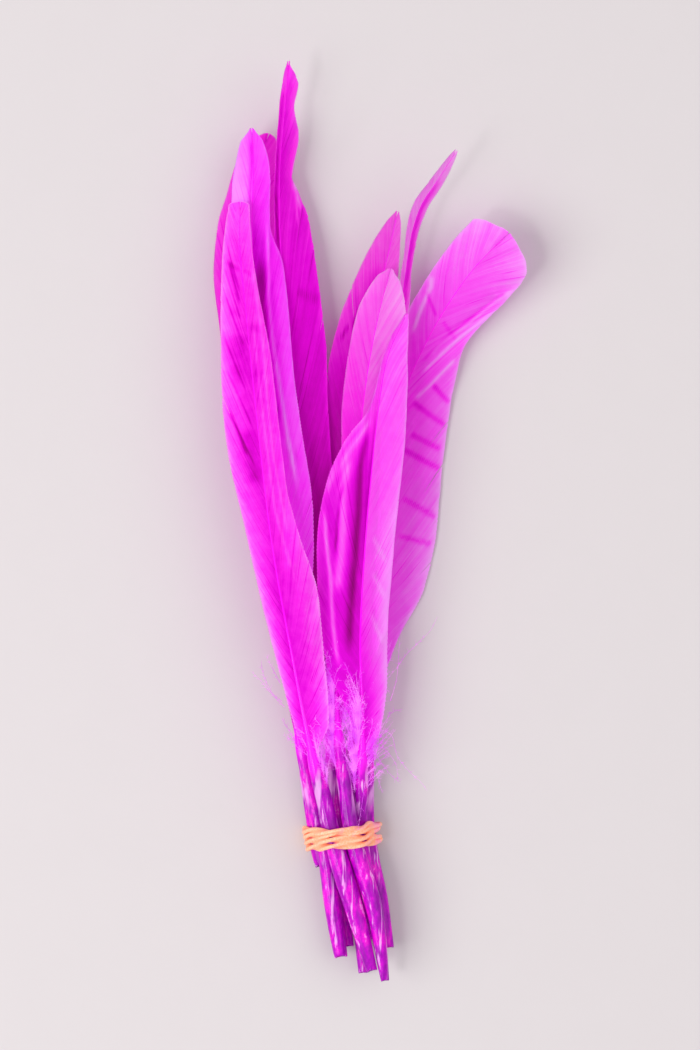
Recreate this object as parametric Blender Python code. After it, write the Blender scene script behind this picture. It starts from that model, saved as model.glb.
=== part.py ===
"""Bunch of dyed goose feathers held by a rubber band, lying on a surface.

The bunch lies along +Y with its cut quill ends at -Y. It rests on Z = 0, with the
origin at the middle of its footprint. Lengths in the tables are millimetres.
"""

import math

import bmesh
import bpy
import numpy as np
from mathutils import Vector

MM = 0.001
COLLECTION = "Goose feather bunch"
SHIFT = (0.01, 0.73, -0.08)  # from the hand-laid layout to the middle of the footprint

# Quill and vane sections
SECTION_POINTS = 14  # seven over the top of a section and seven below it
QUILL_STATIONS = 7
VANE_STATIONS = 19
BORE_DEPTH = 5.0
QUILL_WALL = 0.45
VANE_ROOT_THICKNESS = 0.56
VANE_EDGE_THICKNESS = 0.34
RACHIS_TIP_RADIUS = 0.3
RACHIS_TAPER = 1.3
QUILL_FULL = 0.8  # part of the way from the cut end to the tie where the quill is full width
BORE_TAPER = 0.8
VANE_ROOT_OUT = 0.75  # where a vane leaves the shaft, in parts of the shaft's radius
VANE_ROOT_UP = 0.2
CREST_HEIGHT = 0.75
KEEL_HEIGHT = 0.85
SHAFT_COVER = 0.1
LEAST_VANE = 0.25
VANE_BLEND = 7.0  # length over which the round quill turns into shaft and vanes

# Rubber band: four turns side by side round the packed quills
BAND_TURNS = 4
BAND_PITCH = 1.15
BAND_THICKNESS = 1.1
BAND_CLEARANCE = 0.42
BAND_GROOVE = 0.35
BAND_Y = -69.6
BAND_LEAN = 0.5  # the right end of the band sits higher up the quills than the left
BAND_STEPS = 50
TURN_FLAT = 0.3  # half the flat crest of one turn, in parts of the pitch
SHARP_ANGLE = 40.0

# One row for each feather: its node, the points of its shaft from the cut end to the tip
# as (x, y, z), the quill's radius at the cut end, at the tie and where the vane starts, the
# Y at which the vane starts, and each vane as rows of (part of the vane's length, reach
# sideways, slope at the shaft, slope at the edge), with slopes in degrees, up positive.
FEATHERS = (
    dict(
        node="feather_front_left",
        shaft=(
            (1.1, -98.2, 8.8), (-3.0, -84.0, 9.6), (-7.4, -69.5, 10.45), (-9.4, -60.5, 11.1),
            (-12.0, -50.5, 12.2), (-16.5, -28.0, 14.0), (-20.5, -5.5, 15.2), (-24.0, 23.5, 15.2),
            (-26.0, 43.0, 14.5), (-27.5, 58.5, 13.6), (-27.5, 68.5, 13.0),
        ),
        radii=(1.2, 2.15, 1.5), vane_y=-52.0,
        left=(
            (0.0, 0.8, 0, -5), (0.06, 2.4, -4, -12), (0.2, 3.7, -6, -18), (0.4, 5.2, -8, -24),
            (0.6, 7.3, -8, -28), (0.78, 5.9, -8, -24), (0.9, 4.1, -6, -18), (0.97, 3.0, -5, -12),
            (1.0, 2.5, -4, -8),
        ),
        right=(
            (0.0, 0.8, 0, -5), (0.06, 5.0, -3, -8), (0.2, 7.1, -3, -10), (0.3, 8.0, -3, -12),
            (0.4, 6.1, -4, -12), (0.5, 4.7, -4, -12), (0.7, 4.5, -6, -14), (0.85, 3.1, -6, -14),
            (0.97, 2.2, -5, -10), (1.0, 2.0, -4, -8),
        ),
    ),
    dict(
        node="feather_upper_left",
        shaft=(
            (-5.7, -95.6, 5.6), (-7.5, -84.0, 6.2), (-9.3, -71.0, 6.6), (-12.0, -60.0, 7.4),
            (-15.5, -43.5, 9.0), (-18.5, -17.5, 10.8), (-21.0, 4.5, 11.5), (-23.0, 26.0, 11.5),
            (-24.5, 50.0, 11.0), (-25.0, 66.0, 11.0), (-24.6, 78.0, 12.0), (-25.0, 84.5, 13.0),
        ),
        radii=(1.5, 1.95, 1.35), vane_y=-49.0,
        left=(
            (0.0, 0.6, 0, -5), (0.12, 1.2, -8, -15), (0.3, 2.5, -10, -20), (0.5, 4.3, -10, -24),
            (0.7, 4.9, -10, -26), (0.85, 4.5, -8, -24), (0.9, 4.6, -8, -22), (0.94, 4.1, -6, -18),
            (0.98, 2.8, -5, -12), (1.0, 0.9, -4, -8),
        ),
        right=(
            (0.0, 0.6, 0, -5), (0.12, 3.0, 0, -4), (0.22, 5.2, 0, -5), (0.27, 7.2, -1, -6),
            (0.32, 8.3, -2, -8), (0.4, 9.1, -4, -10), (0.5, 8.3, -6, -12), (0.6, 7.5, -8, -14),
            (0.7, 7.2, -10, -16), (0.78, 6.5, -14, -22),
            (0.85, 3.9, -14, -24), (0.9, 3.8, -10, -24), (0.94, 3.4, -6, -20), (0.98, 2.2, -5, -12),
            (1.0, 0.9, -4, -8),
        ),
    ),
    dict(
        node="feather_back_left",
        shaft=(
            (-10.1, -76.0, 3.1), (-10.5, -73.5, 3.1), (-11.2, -69.5, 3.15), (-14.0, -53.5, 2.8),
            (-16.5, -37.5, 2.2), (-20.0, -17.5, 1.6), (-23.0, 4.5, 1.3), (-25.5, 26.5, 1.3),
            (-27.0, 48.5, 1.8), (-26.5, 64.5, 3.2), (-24.5, 76.0, 5.0), (-21.5, 84.0, 6.5),
        ),
        radii=(1.25, 1.72, 1.2), vane_y=-55.0,
        left=(
            (0.0, 0.6, 0, -2), (0.12, 1.4, 0, -6), (0.3, 2.8, 0, -8), (0.5, 4.6, 0, -10),
            (0.7, 5.7, 0, -12), (0.78, 6.7, 0, -12), (0.85, 6.3, 0, -12), (0.9, 5.1, 0, -10),
            (0.94, 4.6, 0, -8), (0.98, 3.4, 0, -6), (1.0, 1.8, 0, -4),
        ),
        right=(
            (0.0, 0.6, 0, -2), (0.12, 2.3, 0, -2), (0.3, 4.1, 0, -2), (0.5, 6.0, 0, -2),
            (0.7, 8.0, 0, -2), (0.85, 8.4, 0, -4), (0.9, 7.8, 0, -4), (0.94, 6.6, 0, -4),
            (0.98, 4.6, 0, -4), (1.0, 2.4, 0, -4),
        ),
    ),
    dict(
        node="feather_tall",
        shaft=(
            (-4.6, -79.5, 6.1), (-5.0, -75.0, 6.25), (-5.5, -69.5, 6.5), (-7.4, -56.5, 6.8),
            (-9.0, -43.5, 7.0), (-11.5, -22.0, 7.3), (-13.5, 4.5, 7.6), (-15.5, 26.0, 7.8),
            (-17.5, 45.5, 8.0), (-19.0, 62.0, 8.4), (-19.0, 76.0, 9.2), (-18.0, 88.0, 11.0),
            (-17.0, 99.0, 14.0),
        ),
        radii=(1.2, 1.72, 1.3), vane_y=-52.0,
        left=(
            (0.0, 0.6, 0, 0), (0.12, 3.2, -2, -6), (0.3, 4.2, -4, -8), (0.5, 3.7, -4, -8),
            (0.6, 3.2, -4, -8), (0.7, 2.2, 0, 10), (0.78, 1.1, 30, 50), (0.85, 1.2, 45, 62),
            (0.94, 1.2, 40, 60), (0.98, 0.9, 30, 45), (1.0, 0.5, 20, 30),
        ),
        right=(
            (0.0, 0.6, 0, 0), (0.12, 4.4, -2, -6), (0.3, 6.0, -4, -10), (0.5, 6.8, -6, -12),
            (0.6, 7.8, -6, -14), (0.7, 7.4, -12, -22), (0.77, 6.6, -24, -36), (0.81, 4.4, -32, -46),
            (0.84, 2.6, -38, -52), (0.89, 3.5, -38, -50), (0.94, 2.0, -34, -50), (0.965, 2.5, -30, -44),
            (0.98, 1.8, -26, -40), (1.0, 0.5, -20, -30),
        ),
    ),
    dict(
        node="feather_centre",
        shaft=(
            (3.9, -100.4, 8.2), (1.4, -84.0, 9.3), (-3.0, -69.5, 10.3), (-4.8, -58.5, 10.4),
            (-6.4, -45.5, 9.7), (-6.5, -28.5, 9.3), (-4.5, -6.5, 9.8), (-2.0, 15.0, 11.0),
            (0.0, 31.5, 12.3), (2.5, 44.5, 13.3), (5.0, 54.0, 14.0),
        ),
        radii=(0.9, 1.95, 1.35), vane_y=-47.0,
        left=(
            (0.0, 0.6, 0, 0), (0.06, 1.6, -4, -6), (0.2, 2.6, -4, -8), (0.4, 3.0, -4, -8),
            (0.52, 3.2, -4, -8), (0.6, 3.6, -4, -10), (0.7, 4.6, -4, -12), (0.85, 4.8, -4, -14),
            (0.9, 4.7, -4, -14), (0.94, 3.9, -4, -12), (0.98, 2.5, -4, -8), (1.0, 1.2, -4, -8),
        ),
        right=(
            (0.0, 0.6, 0, 0), (0.06, 1.8, -6, -10), (0.2, 4.4, -8, -14), (0.4, 7.0, -8, -16),
            (0.6, 8.0, -8, -20), (0.78, 7.8, -8, -22), (0.85, 7.2, -8, -22), (0.9, 6.2, -8, -20),
            (0.94, 4.9, -6, -16), (0.98, 2.8, -4, -10), (1.0, 1.2, -4, -8),
        ),
    ),
    dict(
        node="feather_front_centre",
        shaft=(
            (1.9, -91.5, 5.4), (0.2, -80.0, 5.9), (-1.4, -69.5, 6.6), (-1.3, -56.5, 8.8),
            (-1.0, -43.5, 11.2), (-1.5, -26.0, 12.6), (-0.5, -6.5, 13.6), (1.0, 11.0, 14.2),
            (2.5, 24.5, 14.5), (4.5, 35.5, 14.7), (8.5, 44.5, 14.9),
        ),
        radii=(1.1, 1.72, 1.5), vane_y=-52.0,
        left=(
            (0.0, 0.8, 0, 0), (0.06, 1.8, -10, -10), (0.12, 3.8, -14, -10), (0.2, 7.0, -18, -8),
            (0.3, 9.0, -20, -4), (0.4, 10.0, -20, -2), (0.5, 10.6, -18, 0), (0.6, 9.7, -14, 4),
            (0.7, 6.6, -4, 12), (0.78, 2.0, 10, 30), (0.85, 1.0, 15, 40), (0.94, 0.9, 20, 40),
            (1.0, 0.5, 15, 30),
        ),
        right=(
            (0.0, 0.8, 0, 0), (0.06, 3.8, -6, -14), (0.2, 5.8, -8, -20), (0.4, 6.1, -8, -22),
            (0.6, 6.5, -8, -24), (0.7, 6.6, -10, -26), (0.85, 5.4, -14, -30), (0.94, 3.1, -16, -30),
            (0.98, 1.4, -16, -26), (1.0, 0.6, -14, -20),
        ),
    ),
    dict(
        node="feather_back_centre",
        shaft=(
            (-4.1, -93.6, 2.8), (-5.6, -83.0, 3.0), (-7.4, -69.5, 3.1), (-8.0, -52.5, 3.3),
            (-7.5, -35.0, 3.9), (-6.0, -13.0, 4.7), (-4.0, 8.5, 5.7), (-1.5, 28.5, 7.2),
            (1.5, 45.5, 9.2), (4.5, 57.5, 11.3), (6.5, 66.5, 13.5),
        ),
        radii=(1.2, 1.72, 1.25), vane_y=-50.0,
        left=(
            (0.0, 0.6, 0, 0), (0.12, 3.2, -2, -6), (0.3, 5.1, -4, -12), (0.5, 6.3, -6, -16),
            (0.7, 7.7, -6, -18), (0.78, 7.2, -6, -16), (0.85, 5.9, -4, -14), (0.9, 4.9, -4, -12),
            (0.94, 3.7, -4, -10), (0.98, 1.9, -4, -8), (1.0, 0.8, -4, -8),
        ),
        right=(
            (0.0, 0.6, 0, 0), (0.12, 2.6, -8, -10), (0.3, 4.4, -10, -14), (0.5, 6.2, -10, -16),
            (0.7, 6.4, -8, -14), (0.85, 4.0, -6, -12), (0.9, 3.0, -6, -12), (0.94, 2.2, -4, -10),
            (0.98, 1.3, -4, -8), (1.0, 0.7, -4, -8),
        ),
    ),
    dict(
        node="feather_curled",
        shaft=(
            (-0.9, -99.4, 2.4), (-1.8, -86.0, 2.8), (-3.6, -69.5, 3.1), (-3.3, -54.0, 3.7),
            (-2.4, -38.0, 4.6), (-0.9, -20.0, 5.6), (1.4, 0.0, 6.9), (4.0, 22.0, 8.4),
            (6.4, 39.6, 9.0), (7.9, 50.5, 9.6), (8.7, 56.5, 10.4), (9.8, 62.8, 11.6),
            (11.7, 68.2, 12.8), (15.0, 73.2, 14.4), (19.2, 79.5, 17.0),
        ),
        radii=(0.95, 1.72, 1.15), vane_y=-47.0,
        left=(
            (0.0, 0.6, 0, 0), (0.2, 2.0, 0, 0), (0.4, 2.6, 0, 0), (0.6, 2.6, 0, 4),
            (0.72, 1.4, 20, 30), (0.8, 1.0, 50, 66), (0.88, 1.6, 56, 72), (0.95, 1.3, 56, 70),
            (0.99, 0.7, 40, 60), (1.0, 0.5, 30, 40),
        ),
        right=(
            (0.0, 0.6, 0, 0), (0.2, 1.8, -4, -6), (0.4, 2.6, -6, -10), (0.6, 2.6, -10, -16),
            (0.72, 1.8, -30, -40), (0.8, 1.2, -56, -68), (0.88, 1.5, -56, -70), (0.95, 1.3, -54, -68),
            (0.99, 0.6, -40, -60), (1.0, 0.4, -30, -40),
        ),
    ),
    dict(
        node="feather_right",
        shaft=(
            (4.7, -93.9, 2.7), (2.9, -83.0, 3.0), (0.3, -69.5, 3.15), (0.3, -52.5, 2.8),
            (0.8, -35.0, 2.3), (1.9, -15.5, 1.9), (3.5, 2.0, 2.0), (5.5, 17.5, 2.5),
            (8.0, 27.5, 3.2), (12.0, 37.0, 4.5), (17.0, 46.0, 6.6), (23.5, 55.0, 9.2),
            (30.5, 62.0, 12.0),
        ),
        radii=(1.2, 1.72, 1.25), vane_y=-50.0,
        left=(
            (0.0, 0.6, 0, 0), (0.12, 2.6, -4, -6), (0.3, 4.4, -4, -8), (0.5, 5.4, -4, -8),
            (0.7, 5.9, 0, -4), (0.78, 6.8, 2, -2), (0.85, 7.1, 2, -4), (0.9, 7.3, 2, -6),
            (0.94, 7.5, 0, -8), (0.97, 7.6, 0, -8), (0.985, 6.0, 0, -8), (1.0, 3.2, 0, -8),
        ),
        right=(
            (0.0, 0.6, 0, 0), (0.12, 2.8, 0, -8), (0.2, 5.6, 0, -10), (0.3, 10.7, 0, -10),
            (0.4, 12.2, 0, -10), (0.5, 12.0, 0, -12), (0.6, 11.4, -2, -14), (0.7, 9.6, -4, -18),
            (0.78, 7.9, -4, -18), (0.85, 9.0, -4, -18), (0.9, 9.9, -4, -16), (0.94, 9.9, -4, -14),
            (0.97, 9.1, -4, -12), (0.985, 7.4, -2, -10), (1.0, 4.4, -2, -10),
        ),
    ),
)


def clear_scene():
    for obj in list(bpy.data.objects):
        bpy.data.objects.remove(obj, do_unlink=True)


def make_collection():
    collection = bpy.data.collections.new(COLLECTION)
    bpy.context.scene.collection.children.link(collection)
    return collection


def make_material(name, color, roughness):
    material = bpy.data.materials.new(name)
    material.use_nodes = True
    shader = material.node_tree.nodes["Principled BSDF"]
    shader.inputs["Base Color"].default_value = (*color, 1.0)
    shader.inputs["Roughness"].default_value = roughness
    shader.inputs["Metallic"].default_value = 0.0
    return material


def between(t, first, last, start, end):
    return ((last - t) * start + (t - first) * end) / (last - first)


def smooth_curve(points, steps=24):
    """Centripetal Catmull-Rom curve through the points, and the length along it."""
    points = np.array(points, float)
    p = np.vstack([2 * points[0] - points[1], points, 2 * points[-1] - points[-2]])
    k = np.r_[0, np.cumsum(np.sqrt(np.linalg.norm(np.diff(p, axis=0), axis=1)))]
    curve = []
    for i in range(len(points) - 1):
        for t in np.linspace(k[i + 1], k[i + 2], steps, endpoint=False):
            a = [between(t, k[i + j], k[i + j + 1], p[i + j], p[i + j + 1]) for j in range(3)]
            b = [between(t, k[i + j], k[i + j + 2], a[j], a[j + 1]) for j in range(2)]
            curve.append(between(t, k[i + 1], k[i + 2], b[0], b[1]))
    curve.append(points[-1])
    length = np.r_[0, np.cumsum(np.linalg.norm(np.diff(curve, axis=0), axis=1))]
    return np.array(curve), length


def smoothstep(value):
    value = min(max(value, 0.0), 1.0)
    return value * value * (3 - 2 * value)


class Feather:
    """The lengths, frames and sections of one feather."""

    def __init__(self, row):
        self.row = row
        self.curve, self.length = smooth_curve(row["shaft"])
        self.total = self.length[-1]
        self.vane_start = np.interp(row["vane_y"], self.curve[:, 1], self.length)
        self.tie = np.interp(BAND_Y, self.curve[:, 1], self.length)

    def point(self, s):
        return np.array([np.interp(s, self.length, self.curve[:, k]) for k in range(3)])

    def frame(self, s):
        """Unit vectors to the feather's left and up, square to the shaft."""
        along = self.point(min(s + 1, self.total)) - self.point(max(s - 1, 0))
        along /= np.linalg.norm(along)
        left = np.cross((0, 0, 1), along)
        left /= np.linalg.norm(left)
        return left, np.cross(along, left)

    def radius(self, s):
        end, tie, vane = self.row["radii"]
        full = QUILL_FULL * self.tie
        if s <= full:
            return tie - (tie - end) * (1 - s / full) ** 2
        if s <= self.vane_start:
            return between(s, full, self.vane_start, tie, vane)
        fall = (s - self.vane_start) / (self.total - self.vane_start)
        return RACHIS_TIP_RADIUS + (vane - RACHIS_TIP_RADIUS) * (1 - fall) ** RACHIS_TAPER

    def vane(self, side, s):
        """The vane's reach and its slopes at the shaft and at the edge, in radians."""
        part = (s - self.vane_start) / (self.total - self.vane_start)
        table = np.array(self.row[side], float)
        reach, root, edge = (np.interp(part, table[:, 0], table[:, k]) for k in (1, 2, 3))
        return reach, math.radians(root), math.radians(edge)

    def half_section(self, side, s):
        """Top and bottom points from the shaft to the vane's edge, as (sideways, up)."""
        radius = self.radius(s)
        reach, root, edge = self.vane(side, s)
        across, up = VANE_ROOT_OUT * radius, VANE_ROOT_UP * radius
        span = max(reach - across, LEAST_VANE)
        top, bottom = [], []
        for part in (0.0, 0.5, 1.0):
            slope = root + (edge - root) * part / 2
            x = across + span * part
            z = up + span * part * math.tan(slope)
            half = (VANE_ROOT_THICKNESS + (VANE_EDGE_THICKNESS - VANE_ROOT_THICKNESS) * part) / 2
            tilt = root + (edge - root) * part
            top.append((x - half * math.sin(tilt), z + half * math.cos(tilt)))
            bottom.append((x + half * math.sin(tilt), z - half * math.cos(tilt)))
        return top, bottom

    def section(self, s):
        """The section at length s along the shaft, blended from round quill to vanes."""
        radius = self.radius(s)
        turn = 2 * math.pi / SECTION_POINTS
        angles = [math.pi - (i + 0.5) * turn for i in range(SECTION_POINTS)]
        ring = [(-radius * math.cos(a), radius * math.sin(a)) for a in angles]
        blend = smoothstep((s - self.vane_start) / VANE_BLEND)
        if blend == 0:
            return ring
        left_top, left_bottom = self.half_section("left", s)
        right_top, right_bottom = self.half_section("right", s)
        crest = (0.0, CREST_HEIGHT * radius + SHAFT_COVER)
        keel = (0.0, -KEEL_HEIGHT * radius - SHAFT_COVER)
        wing = left_top[::-1] + [crest] + [(-x, z) for x, z in right_top]
        wing += [(-x, z) for x, z in right_bottom[::-1]] + [keel] + left_bottom
        return [
            (a[0] + (b[0] - a[0]) * blend, a[1] + (b[1] - a[1]) * blend)
            for a, b in zip(ring, wing)
        ]

    def place(self, s, section):
        centre = self.point(s)
        left, up = self.frame(s)
        return [Vector((centre + left * x + up * z + SHIFT) * MM) for x, z in section]

    def rings(self):
        """Closed rings from the bottom of the hollow end, round its lip, to the tip."""
        inner = (self.radius(0) - QUILL_WALL) / self.radius(0)
        bore = [(x * inner, z * inner) for x, z in self.section(0)]
        rings = [self.place(BORE_DEPTH, [(x * BORE_TAPER, z * BORE_TAPER) for x, z in bore])]
        rings.append(self.place(0, bore))
        quill = np.linspace(0, self.vane_start, QUILL_STATIONS)
        vane = np.linspace(self.vane_start, self.total, VANE_STATIONS + 1)[1:]
        rings += [self.place(s, self.section(s)) for s in (*quill, *vane)]
        return rings


def loft(name, rings, material, collection, closed=False):
    """One closed skin over rings of equal count, capped at its ends unless it closes."""
    shape = bmesh.new()
    verts = [[shape.verts.new(point) for point in ring] for ring in rings]
    pairs = list(zip(verts, verts[1:] + verts[:1]))
    if not closed:
        pairs.pop()
        shape.faces.new(verts[0])
        shape.faces.new(verts[-1][::-1])
    for first, second in pairs:
        for i in range(len(first)):
            j = (i + 1) % len(first)
            shape.faces.new((first[i], second[i], second[j], first[j]))
    bmesh.ops.recalc_face_normals(shape, faces=shape.faces)
    mesh = bpy.data.meshes.new(name)
    shape.to_mesh(mesh)
    shape.free()
    mesh.shade_smooth()
    mesh.set_sharp_from_angle(angle=math.radians(SHARP_ANGLE))
    mesh.materials.append(material)
    obj = bpy.data.objects.new(name, mesh)
    collection.objects.link(obj)
    return obj


def band_profile():
    """The band's section as (place along the quills, place outwards), four turns wide."""
    width = BAND_TURNS * BAND_PITCH
    crest = BAND_THICKNESS / 2
    inner = [(-width / 2, -crest), (width / 2, -crest)]
    outer = []
    for turn in reversed(range(BAND_TURNS)):
        centre = (turn + 0.5) * BAND_PITCH - width / 2
        half = TURN_FLAT * BAND_PITCH
        outer += [(centre + half, crest), (centre - half, crest)]
        if turn:
            outer.append((centre - BAND_PITCH / 2, crest - BAND_GROOVE))
    return inner + outer


def tight_point(feathers, y, angle, out):
    """A point of a band drawn tight round the quills and pressed flat where it rests."""
    normal = np.array((math.cos(angle), math.sin(angle)))
    discs = []
    for feather in feathers:
        s = np.interp(y, feather.curve[:, 1], feather.length)
        x, _, z = feather.point(s)
        discs.append((np.array((x, z)), feather.radius(s)))
    centre, radius = max(discs, key=lambda disc: disc[0] @ normal + disc[1])
    x, z = centre + normal * (radius + BAND_CLEARANCE + BAND_THICKNESS / 2 + out)
    return np.array((x, y, max(z, -SHIFT[2])))


def make_band(feathers, material, collection):
    rings = []
    for step in range(BAND_STEPS):
        angle = 2 * math.pi * (step + 0.5) / BAND_STEPS
        lean = BAND_LEAN * math.cos(angle)
        ring = [
            tight_point(feathers, BAND_Y + along + lean, angle, out)
            for along, out in band_profile()
        ]
        rings.append([Vector((point + SHIFT) * MM) for point in ring])
    return loft("rubber_band", rings, material, collection, closed=True)


def main():
    clear_scene()
    collection = make_collection()
    dyed = make_material("dyed_feather", (0.78, 0.02, 0.72), 0.55)
    rubber = make_material("band_rubber", (0.95, 0.42, 0.2), 0.6)
    feathers = [Feather(row) for row in FEATHERS]
    for feather in feathers:
        loft(feather.row["node"], feather.rings(), dyed, collection)
    make_band(feathers, rubber, collection)


if __name__ == "__main__":
    main()
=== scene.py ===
"""Bunch of nine dyed goose quill feathers, tied with a rubber band, lying on a pale floor.

The bunch lies along +Y with its cut quill ends at -Y. The feather tables hold the same
millimetre layout as the solids of the frame, and every piece stands for the solid it is named
after. A vane is a sheet of barbs that leave the shaft at a slant.
"""

import math

import bpy
import numpy as np
from bpy.props import FloatProperty, FloatVectorProperty, PointerProperty
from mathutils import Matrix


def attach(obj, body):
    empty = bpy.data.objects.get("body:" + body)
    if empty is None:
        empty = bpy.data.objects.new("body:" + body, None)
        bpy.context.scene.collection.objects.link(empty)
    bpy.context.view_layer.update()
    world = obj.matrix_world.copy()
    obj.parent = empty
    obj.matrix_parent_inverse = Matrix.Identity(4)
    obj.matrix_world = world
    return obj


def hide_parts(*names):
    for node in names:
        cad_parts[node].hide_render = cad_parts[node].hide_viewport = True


bl_info = {
    "name": "Goose feather bunch",
    "version": (1, 0, 0),
    "blender": (4, 5, 0),
    "location": "3D View > Sidebar > Feathers",
    "description": "Builds a tied bunch of dyed goose quill feathers piece by piece",
    "category": "Add Mesh",
}

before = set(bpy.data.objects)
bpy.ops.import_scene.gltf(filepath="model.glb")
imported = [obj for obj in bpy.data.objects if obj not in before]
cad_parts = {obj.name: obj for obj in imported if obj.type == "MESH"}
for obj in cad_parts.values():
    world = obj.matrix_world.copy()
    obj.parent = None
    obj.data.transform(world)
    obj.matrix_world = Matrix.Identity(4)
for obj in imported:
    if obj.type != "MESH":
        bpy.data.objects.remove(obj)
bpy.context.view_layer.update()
MM = 0.001
SHIFT = np.array((0.01, 0.73, -0.08))  # from the layout to the frame's origin
BODY = "root"

# Shaft
QUILL_SIDES = 20
QUILL_STEP = 1.4  # length between two rings of the quill
QUILL_WALL = 0.4
BORE_DEPTH = 6.0
CUT_SLANT = 0.5  # how far the cut end leans along the quill, in quill radii
SHAFT_TIP_RADIUS = 0.12
QUILL_FULL = 0.8  # part of the way to the tie at which the quill reaches its full width
CUT_EASE = 1.5  # length over which the slant of the cut end dies away
QUILL_DENT = 0.03
DENT_STEP = 6
SHAFT_KEPT = 0.25  # part of the quill's width that the shaft keeps between the vanes
SHAFT_EASE = 0.07  # part of the vane over which it narrows
SHAFT_LEAD = 3  # the round quill starts to turn into the shaft this far before the vane
SHAFT_TURN = 10  # and has turned into it after this length
SHAFT_TOP = 0.72  # height of the shaft's upper half, in radii
SHAFT_BELOW = 0.95
SHAFT_NARROWER = 0.35
SHAFT_GROOVE = 0.25  # depth of the groove along its underside
SHAFT_GROOVE_WIDTH = 0.35

# Vanes
VANE_ROWS = 20  # mesh rows from the shaft to the edge
PAST_TIP = 8.0  # length over which the shaft's line is carried on past its end
TIP_OVERHANG = 0.35  # how far the last barbs reach past the shaft's end
BASE_RUN = 16.0  # length over which the lowest barbs turn from square to slanted
EDGE_TOOTH = 0.14  # how far a barb's tip stands out from the groove beside it
BARB_RIDGE = 0.018
EDGE_PALE_AND_HIGHLIGHT = 0.2  # how much paler the very edge of a vane is: thinner barb tips and a painted edge highlight
BARB_BEND = 1.06  # above 1 the barbs leave the shaft squarer than they end
VANE_FOOT = 0.4  # where a vane leaves the shaft, sideways in shaft radii
VANE_FOOT_RISE = 0.35
LEAST_SPAN = 0.25
LEAST_REACH = 0.5
LEAST_SWEEP = 0.2
LAST_BARB = 0.6  # how far before the shaft's end the last barb leaves it
SLANT_TURN = 1.5  # above 1 the barbs reach their slant at the tip before the tip
WEB_BARBS = (7, 34)  # fewest and most barbs between two gaps in a vane
WEB_MARGIN = 6  # barbs at the tip that no gap parts
SPLIT_SNAP = 5  # a split takes the place of a gap that is nearer than this many barbs
GAP_OPENS = (0.35, 0.85)  # where across the vane a gap starts to open
MARK_EASE = 8  # a mark fades in and out over its length divided by this
PARTED_SHADE_DEPTH = (0.08, 0.32)  # painted shade where two barbs stand apart
PARTED_MIDDLE = (0.1, 1.0)
PARTED_REACH = (0.1, 0.45)
PARTED_WIDTH = 0.25
SLANT_WAVE = (0.06, 22)  # waves are (height, barbs from one wave to the next)
LENGTH_WAVE = (0.012, 3)
SURFACE_WAVES = ((0.05, 5), (0.10, 17))
DYE_WAVES = ((0.03, 6), (0.02, 2))
WAVE_AT_SHAFT = 0.4  # part of the dye's waves that is left beside the shaft
WEB_TILT = 0.22  # how far the sides of a web stand out of the vane
TILT_CURVE = 1.5
DYE_CURVE = 1.3  # above 1 the dye by the shaft reaches further across
EDGE_SHARPNESS = 20

# Down
DOWN_STEPS = 14
DOWN_ROOT = (0.7, 0.4)  # where a strand leaves the shaft, sideways and up in shaft radii
DOWN_SPREAD = (9, 12)  # how far slants stray off the shaft and off the floor, in degrees
DOWN_LENGTHS = (0.5, 1.15)
DOWN_CURL = 0.05
DOWN_DROOP = 0.004
CURL_KEPT = 0.8  # part of a fibre's turning that goes on from step to step
CURL_ADDED = 0.6
DOWN_TIP = 0.35  # thickness of a strand's tip beside its root's
DOWN_LOWEST = 0.3  # no strand goes lower than this
BARBULES = 16  # side fibres on each strand
BARBULE_STEPS = 3
BARBULE_LENGTHS = (0.5, 1.1)
BARBULE_LEAN = (0.5, 1.1)
BARBULE_CURL = 0.15
BARBULE_TAPER = (0.5, 0.4, 0.25)
BARBULE_LOWEST = 0.15
FIBRE_POINT = 0.1  # length of the point that closes a fibre
WELD = 1e-6
MAP_MARGIN = (0.01, 0.04)  # room left at the ends and at the sides of a strip of the map
SHARP_ANGLE = 50
SEED_OF_QUILL = 100  # added to the feather's seed
SEED_OF_DOWN = 200

# Rubber band: its path as (turns wound, place along the quills, place outwards), from the
# left side over the top to the right and back underneath, four turns in all
BAND_Y = -69.6
BAND_WIDTH = 1.85
BAND_THICKNESS = 1.3
BAND_WAIST = 0.4  # how far the two strands of the band draw in where they meet
BAND_SLACK = 0.15  # how far the band stands off the quills underneath
BAND_SHEAR = -0.2  # the quills lean sideways by this much along their length
BAND_STEPS = 900
BAND_SIDES = 16
BAND_SMOOTHING = 21
BAND_TWISTS = 12  # full turns of the two strands about each other
WAIST_NARROWNESS = 4
# How narrow the painted shade between the band's strands is
RUBBER_SHADE_NARROWNESS = 6
BUNDLE_FLATNESS = 1.6
BAND_PATH = (
    (0, 1.7, 0.0), (0.12, 1.9, 0.1), (0.25, 2.1, 0.6), (0.38, 2.2, 0.1), (0.5, 2.0, 0.0),
    (0.75, 2.2, 0.0), (1, 0.6, 0.0), (1.12, 0.9, 0.0), (1.25, 1.4, 0.0), (1.38, 2.6, 0.0),
    (1.5, 3.1, 0.0), (1.62, 2.6, 0.7), (1.75, 0.9, 0.0), (2, -0.7, 0.0), (2.12, -0.4, 0.2),
    (2.25, 0.4, 0.6), (2.38, 0.7, 0.2), (2.5, 0.8, 0.0), (2.75, -1.6, 0.0), (3, -2.1, 0.0),
    (3.12, -1.7, 0.0), (3.25, -1.0, 0.0), (3.38, -0.6, 0.0), (3.5, -0.5, 0.0), (3.75, -0.3, 0.0),
    (3.88, 0.9, 0.7), (4, 1.7, 0.0),
)

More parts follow.
